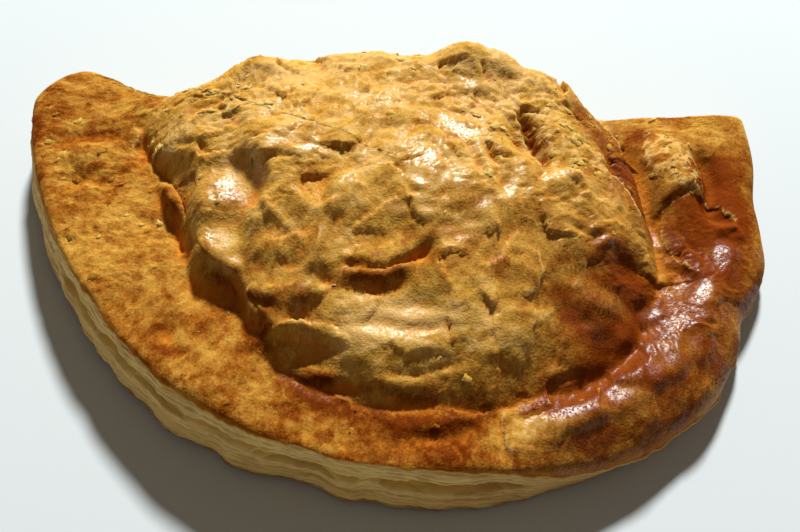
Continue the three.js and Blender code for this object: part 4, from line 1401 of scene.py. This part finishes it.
def under_the_rim(values, at_rim):
    """A layer for the whole crust: the painted top, then the rows under its rim."""
    rest = len(crust.data.vertices) - values.size
    return np.concatenate([values.ravel(), np.full(rest, at_rim)])


browning, toffee, pale, gloss, amber = paint_crust()
paint(
    crust,
    browning=under_the_rim(browning, 0.2),
    toffee=under_the_rim(toffee, 0),
    pale=under_the_rim(pale, 0.85),
    gloss=under_the_rim(gloss, 0),
    amber=under_the_rim(amber, 0),
)
print("mean browning", round(float(browning.mean()), 2))

# %% [markdown]
# ## Glazed crust
#
# The browning number, which also carries some painted shade and a painted highlight, runs
# through a colour ramp from cream to dark brown, with fine noise added first, so the
# borders between tones break up. A painted amber glow for light bounced into the hollows,
# toffee with the painted shade of the right ear's hole, and bare dough are mixed over it by
# their own numbers. The egg glaze is a Principled shader's clear coat, but only in specks:
# an even coat looks like plastic, while grains of it break a highlight into many small
# sparks. Some light passes below the surface and warms the thin edges, and a fine bump
# roughens the rest.

# %% Glazed crust
CREAM = (0.55, 0.345, 0.105)
TAN = (0.485, 0.275, 0.045)
GOLD = (0.365, 0.176, 0.024)
BROWN = (0.235, 0.078, 0.006)
DARK = (0.13, 0.024, 0.001)
# dark burnt glaze, and the painted shadow in the right ear's hole
TOFFEE_AND_SHADE = (0.155, 0.027, 0.001)
# painted bounce light: the lighter amber glow painted into the hollows
PAINTED_BOUNCE = (0.55, 0.17, 0.012)


def glazed_crust():
    material, start = new_material("glazed_crust")
    fine = speckle(start, 1.3, 4.0, distortion=0.4)
    finer = speckle(start, 0.45, 2.0)
    tone = layer(start, "browning") + 0.5 * (fine - 0.5) + 0.6 * (finer - 0.5)
    stops = [(0.0, CREAM), (1.0, DARK), (0.24, TAN), (0.5, GOLD), (0.76, BROWN)]
    colour = start.node("ShaderNodeValToRGB", {"stops": stops}, {"Fac": tone})
    # painted bounce light in the hollows
    colour = (0.7 * layer(start, "amber")).mixed(colour, PAINTED_BOUNCE)
    # dark glaze at the right, and the painted shadow of the right ear's hole
    pooled_and_shaded = (layer(start, "toffee") + 0.3 * (fine - 0.5)).clamped()
    colour = (0.85 * pooled_and_shaded).mixed(colour, TOFFEE_AND_SHADE)
    bare = (layer(start, "pale") + 0.5 * (fine - 0.5)).between(0.25, 0.8)
    colour = (0.85 * bare).mixed(colour, CREAM)
    grain = speckle(start, 0.5, 3.0)
    shine = (layer(start, "gloss") * (0.1 + 1.6 * grain.between(0.38, 0.62))).clamped()
    fibres = speckle(start, 0.35, 2.0, ((0, 0, 0.5), (0.35, 1, 1)))
    crumpled = abs(speckle(start, 2.6, 3.0, distortion=0.8) - 0.5)
    crumpled = crumpled + 0.6 * abs(speckle(start, 1.1, 2.0) - 0.5)
    height = 0.08 * fine + 0.16 * grain + 0.06 * finer + 0.06 * fibres + 0.1 * crumpled
    constants = {
        "Specular IOR Level": 0.02,
        "Coat Roughness": 0.36,
        "Coat IOR": 1.45,
        "Subsurface Weight": 0.4,
        "Subsurface Radius": (1.0, 0.5, 0.2),
        "Subsurface Scale": 0.0018,
    }
    varying = {
        "Base Color": colour,
        "Roughness": 0.72 - 0.34 * shine,
        "Coat Weight": 0.85 * shine,
    }
    finish_material(start, constants, varying, height)
    return material


crust.data.materials.append(glazed_crust())

# %% [markdown]
# ## Loose flakes
#
# Puff pastry sheds thin flakes and crumbs that stay on it. A particle system could scatter
# them, but copies of one leaf look alike, and they'd be lost when the model leaves
# Blender. So each one is a small leaf of its own in one mesh: an uneven ring of points
# round a middle, draped over the crust, a little lifted at one side and closed below. The
# crust's height is read from a coarse map of it, because the leaves lie between its
# points. They take the crust's own material, so every leaf carries the same five painted
# numbers.

# %% A height map of the crust
MAP_STEP = 0.5
MAP_X, MAP_Y = np.arange(-96, 97, MAP_STEP), np.arange(-58, 59, MAP_STEP)


def height_map():
    edges = (MAP_X - MAP_STEP / 2, MAP_Y - MAP_STEP / 2)
    at = (CRUST_X.ravel(), CRUST_Y.ravel())
    summed = np.histogram2d(*at, bins=edges, weights=Z.ravel())[0]
    count = np.histogram2d(*at, bins=edges)[0]
    return np.where(count > 0, summed / np.maximum(count, 1), 0)


HEIGHTS = height_map()


def height_at(x, y):
    """The crust's height at any place, blended from the four nearest cells."""
    u, v = (x - MAP_X[0]) / MAP_STEP, (y - MAP_Y[0]) / MAP_STEP
    i, j = np.floor(u).astype(int), np.floor(v).astype(int)
    u, v = u - i, v - j
    low = HEIGHTS[i, j] * (1 - u) + HEIGHTS[i + 1, j] * u
    high = HEIGHTS[i, j + 1] * (1 - u) + HEIGHTS[i + 1, j + 1] * u
    return low * (1 - v) + high * v


# %% Where flakes lie
CORNERS = 11
NAMED_FLAKES = [
    # middle, half-length, half-width, turn, lift, paleness
    ((-2, 21.5), 2.2, 1.6, 20, 0.35, 0.5),
    ((-53.8, 4.7), 0.8, 0.65, 70, 0.7, 1.8),
    ((-14.4, -18.5), 1.0, 0.6, -20, 0.3, 1.6),
    ((-13, -17.2), 0.6, 0.4, 30, 0.25, 1.4),
    ((12.7, 24.5), 1.6, 0.8, 30, 0.4, 0.7),
    ((16.8, 23), 1.8, 0.9, -20, 0.45, 0.8),
    ((19.6, 19.7), 1.4, 1.0, 50, 0.4, 0.8),
    ((21.7, 19.1), 1.1, 0.6, 0, 0.4, 0.9),
    ((19.8, 15.7), 1.5, 0.7, -40, 0.4, 0.8),
    ((17.7, 14.7), 0.9, 0.6, 20, 0.3, 0.8),
    ((22.5, -10), 2.0, 0.8, 5, 0.3, 0.6),
    ((-38.5, 26.5), 2.4, 1.1, 15, 0.5, 0.3),
    ((-44, 27.2), 2.0, 1.0, 0, 0.5, 0.4),
    ((52, 21), 5.5, 0.9, 22, 0.9, 0.1),
    ((64.3, 41), 1.8, 0.3, 35, 0.8, 1.0),
]
SHEDDING = [(crown, 0.25), (back, 0.5), (crumb, 2.2), (dry_band, 0.3), (mound, 0.15)]
FLAKE_COUNT = 170
FLAKE_THICKNESS = 0.12
FLAKE_GAP = 0.06  # of the leaf's middle over the crust


def scattered_flakes():
    """Flakes at random places, more of them where the crust sheds more."""
    likely = sum(mask * share for mask, share in SHEDDING)
    likely = (likely * (SHARE < 0.96) * (RADIUS * SHARE)).ravel()
    spots = RANDOM.choice(likely.size, FLAKE_COUNT, p=likely / likely.sum())
    scattered = []
    for spot in spots:
        size = 0.5 + 1.1 * RANDOM.random() ** 2
        turn = math.degrees(math.atan2(DIRECTION[spot, 1], DIRECTION[spot, 0]))
        scattered.append((
            (X.flat[spot], Y.flat[spot]), size * RANDOM.uniform(1, 1.4), size * RANDOM.uniform(0.7, 1),
            turn + RANDOM.normal(0, 25), RANDOM.uniform(0.02, 0.16), RANDOM.uniform(0, 0.35),
        ))
    return scattered


def flakes_piece():
    flakes = NAMED_FLAKES + scattered_flakes()
    points, tops, pales = [], [], []
    around = np.arange(CORNERS) * 2 * math.pi / CORNERS
    for at, length, width, turn, lift, paleness in flakes:
        far = RANDOM.uniform(0.62, 1.2, CORNERS)
        a, b = length * far * np.cos(around), width * far * np.sin(around)
        a, b = np.append(a, 0), np.append(b, 0)
        c, s = math.cos(math.radians(turn)), math.sin(math.radians(turn))
        x, y = at[0] + c * a - s * b, at[1] + s * a + c * b
        edge = (a / length) ** 2 + (b / width) ** 2
        upper = height_at(x, y) + FLAKE_GAP + lift * (0.35 + 0.5 * b / width + 0.2 * edge)
        points.append(np.column_stack([x, y, upper]))
        points.append(np.column_stack([x, y, upper - FLAKE_THICKNESS]))
        tops += [np.full(2 * CORNERS + 2, np.argmin(np.hypot(X - at[0], Y - at[1])))]
        pales += [paleness * (0.5 + 0.5 * np.append(np.ones(CORNERS), 0))] * 2
    first = np.arange(len(flakes))[:, None] * (2 * CORNERS + 2)
    ring, after = np.arange(CORNERS), np.roll(np.arange(CORNERS), -1)
    middle, under = np.full(CORNERS, CORNERS), CORNERS + 1
    corners = [(ring, after, middle), (after + under, ring + under, middle + under)]
    faces = [np.stack([first + part for part in face], axis=-1).reshape(-1, 3) for face in corners]
    sides = (ring + under, after + under, after, ring)
    faces.append(np.stack([first + part for part in sides], axis=-1).reshape(-1, 4))
    piece = make_mesh("flakes", np.concatenate(points), faces)
    below, pales = np.concatenate(tops), np.concatenate(pales)
    paint(
        piece,
        browning=browning.flat[below] - 0.12,
        toffee=0 * pales,
        pale=np.clip(pales, 0, 1),
        gloss=gloss.flat[below],
        amber=0 * pales,
    )
    return piece


flakes = flakes_piece()
flakes.data.materials.append(crust.data.materials[0])

# %% [markdown]
# ## Bare layers
#
# The opened side never saw egg or much heat, so it is cream, with painted shade in the
# hollows, a deeper gold, and in thin darker lines between leaves. The lines must follow the
# leaves of the mesh, so the wall's own numbers (leaf, hollow, opening, under) steer the
# colour, and noise only breaks it up.

# %% Bare layers
LEAF_CREAM = (0.82, 0.57, 0.19)
# painted shade: the thin darker lines between leaves
LEAF_SHADE = (0.28, 0.17, 0.03)
# painted shade: the deeper gold in the wall's hollows
HOLLOW_GOLD = (0.6, 0.38, 0.04)
BAKED_EDGE = (0.42, 0.2, 0.05)
BAKED_BASE = (0.36, 0.17, 0.04)


def baked_layers():
    material, start = new_material("baked_layers")
    fine = speckle(start, 1.0, 4.0, ((0, 0, 0), (0.4, 0.4, 2.2)))
    broad = speckle(start, 9.0, 3.0)
    lines = layer(start, "leaf") ** 4.0
    # painted shade in the lines between leaves
    colour = (0.7 * lines + 0.5 * (fine - 0.5)).clamped().mixed(LEAF_CREAM, LEAF_SHADE)
    # painted shade in the wall's hollows
    colour = layer(start, "hollow").clamped().mixed(colour, HOLLOW_GOLD)
    sealed = (1 - layer(start, "opening")).clamped()
    colour = sealed.mixed(colour, BAKED_EDGE)
    colour = (0.5 * broad.between(0.5, 0.75)).mixed(colour, BAKED_EDGE)
    colour = layer(start, "under").mixed(colour, BAKED_BASE)
    height = 0.12 * fine + 0.04 * speckle(start, 0.4, 2.0)
    finish_material(start, {"Roughness": 0.8}, {"Base Color": colour}, height)
    return material


layers.data.materials.append(baked_layers())

# %% [markdown]
# ## Floor
#
# The floor isn't part of the pasty. A plain pale square, large enough that its edge never
# shows from the camera, catches the shadow and sends light back. It has no gloss, so no
# reflection competes with the glaze.

# %% Floor
FLOOR_SIZE = 1.6
FLOOR_PALE = (0.52, 0.58, 0.61)
FLOOR_SHADE = (0.5, 0.55, 0.57)


def floor_piece():
    mesh = bpy.data.meshes.new("floor")
    half = FLOOR_SIZE / 2
    corners = [(-half, -half, 0), (half, -half, 0), (half, half, 0), (-half, half, 0)]
    mesh.from_pydata(corners, [], [(0, 1, 2, 3)])
    floor = bpy.data.objects.new("floor", mesh)
    bpy.context.scene.collection.objects.link(floor)
    material, start = new_material("pale_floor")
    cloud = speckle(start, 60, 2.0)
    colour = (0.2 * cloud).mixed(FLOOR_PALE, FLOOR_SHADE)
    finish_material(start, {"Roughness": 0.9, "Specular IOR Level": 0.0}, {"Base Color": colour})
    mesh.materials.append(material)
    return floor


floor_piece()

# %% [markdown]
# ## Join the frame
#
# All three pieces rest on the pasty's one body and stand in for its one solid.

# %% Join the frame
for piece in (crust, layers, flakes):
    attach(piece, "root")
    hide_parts("pasty")
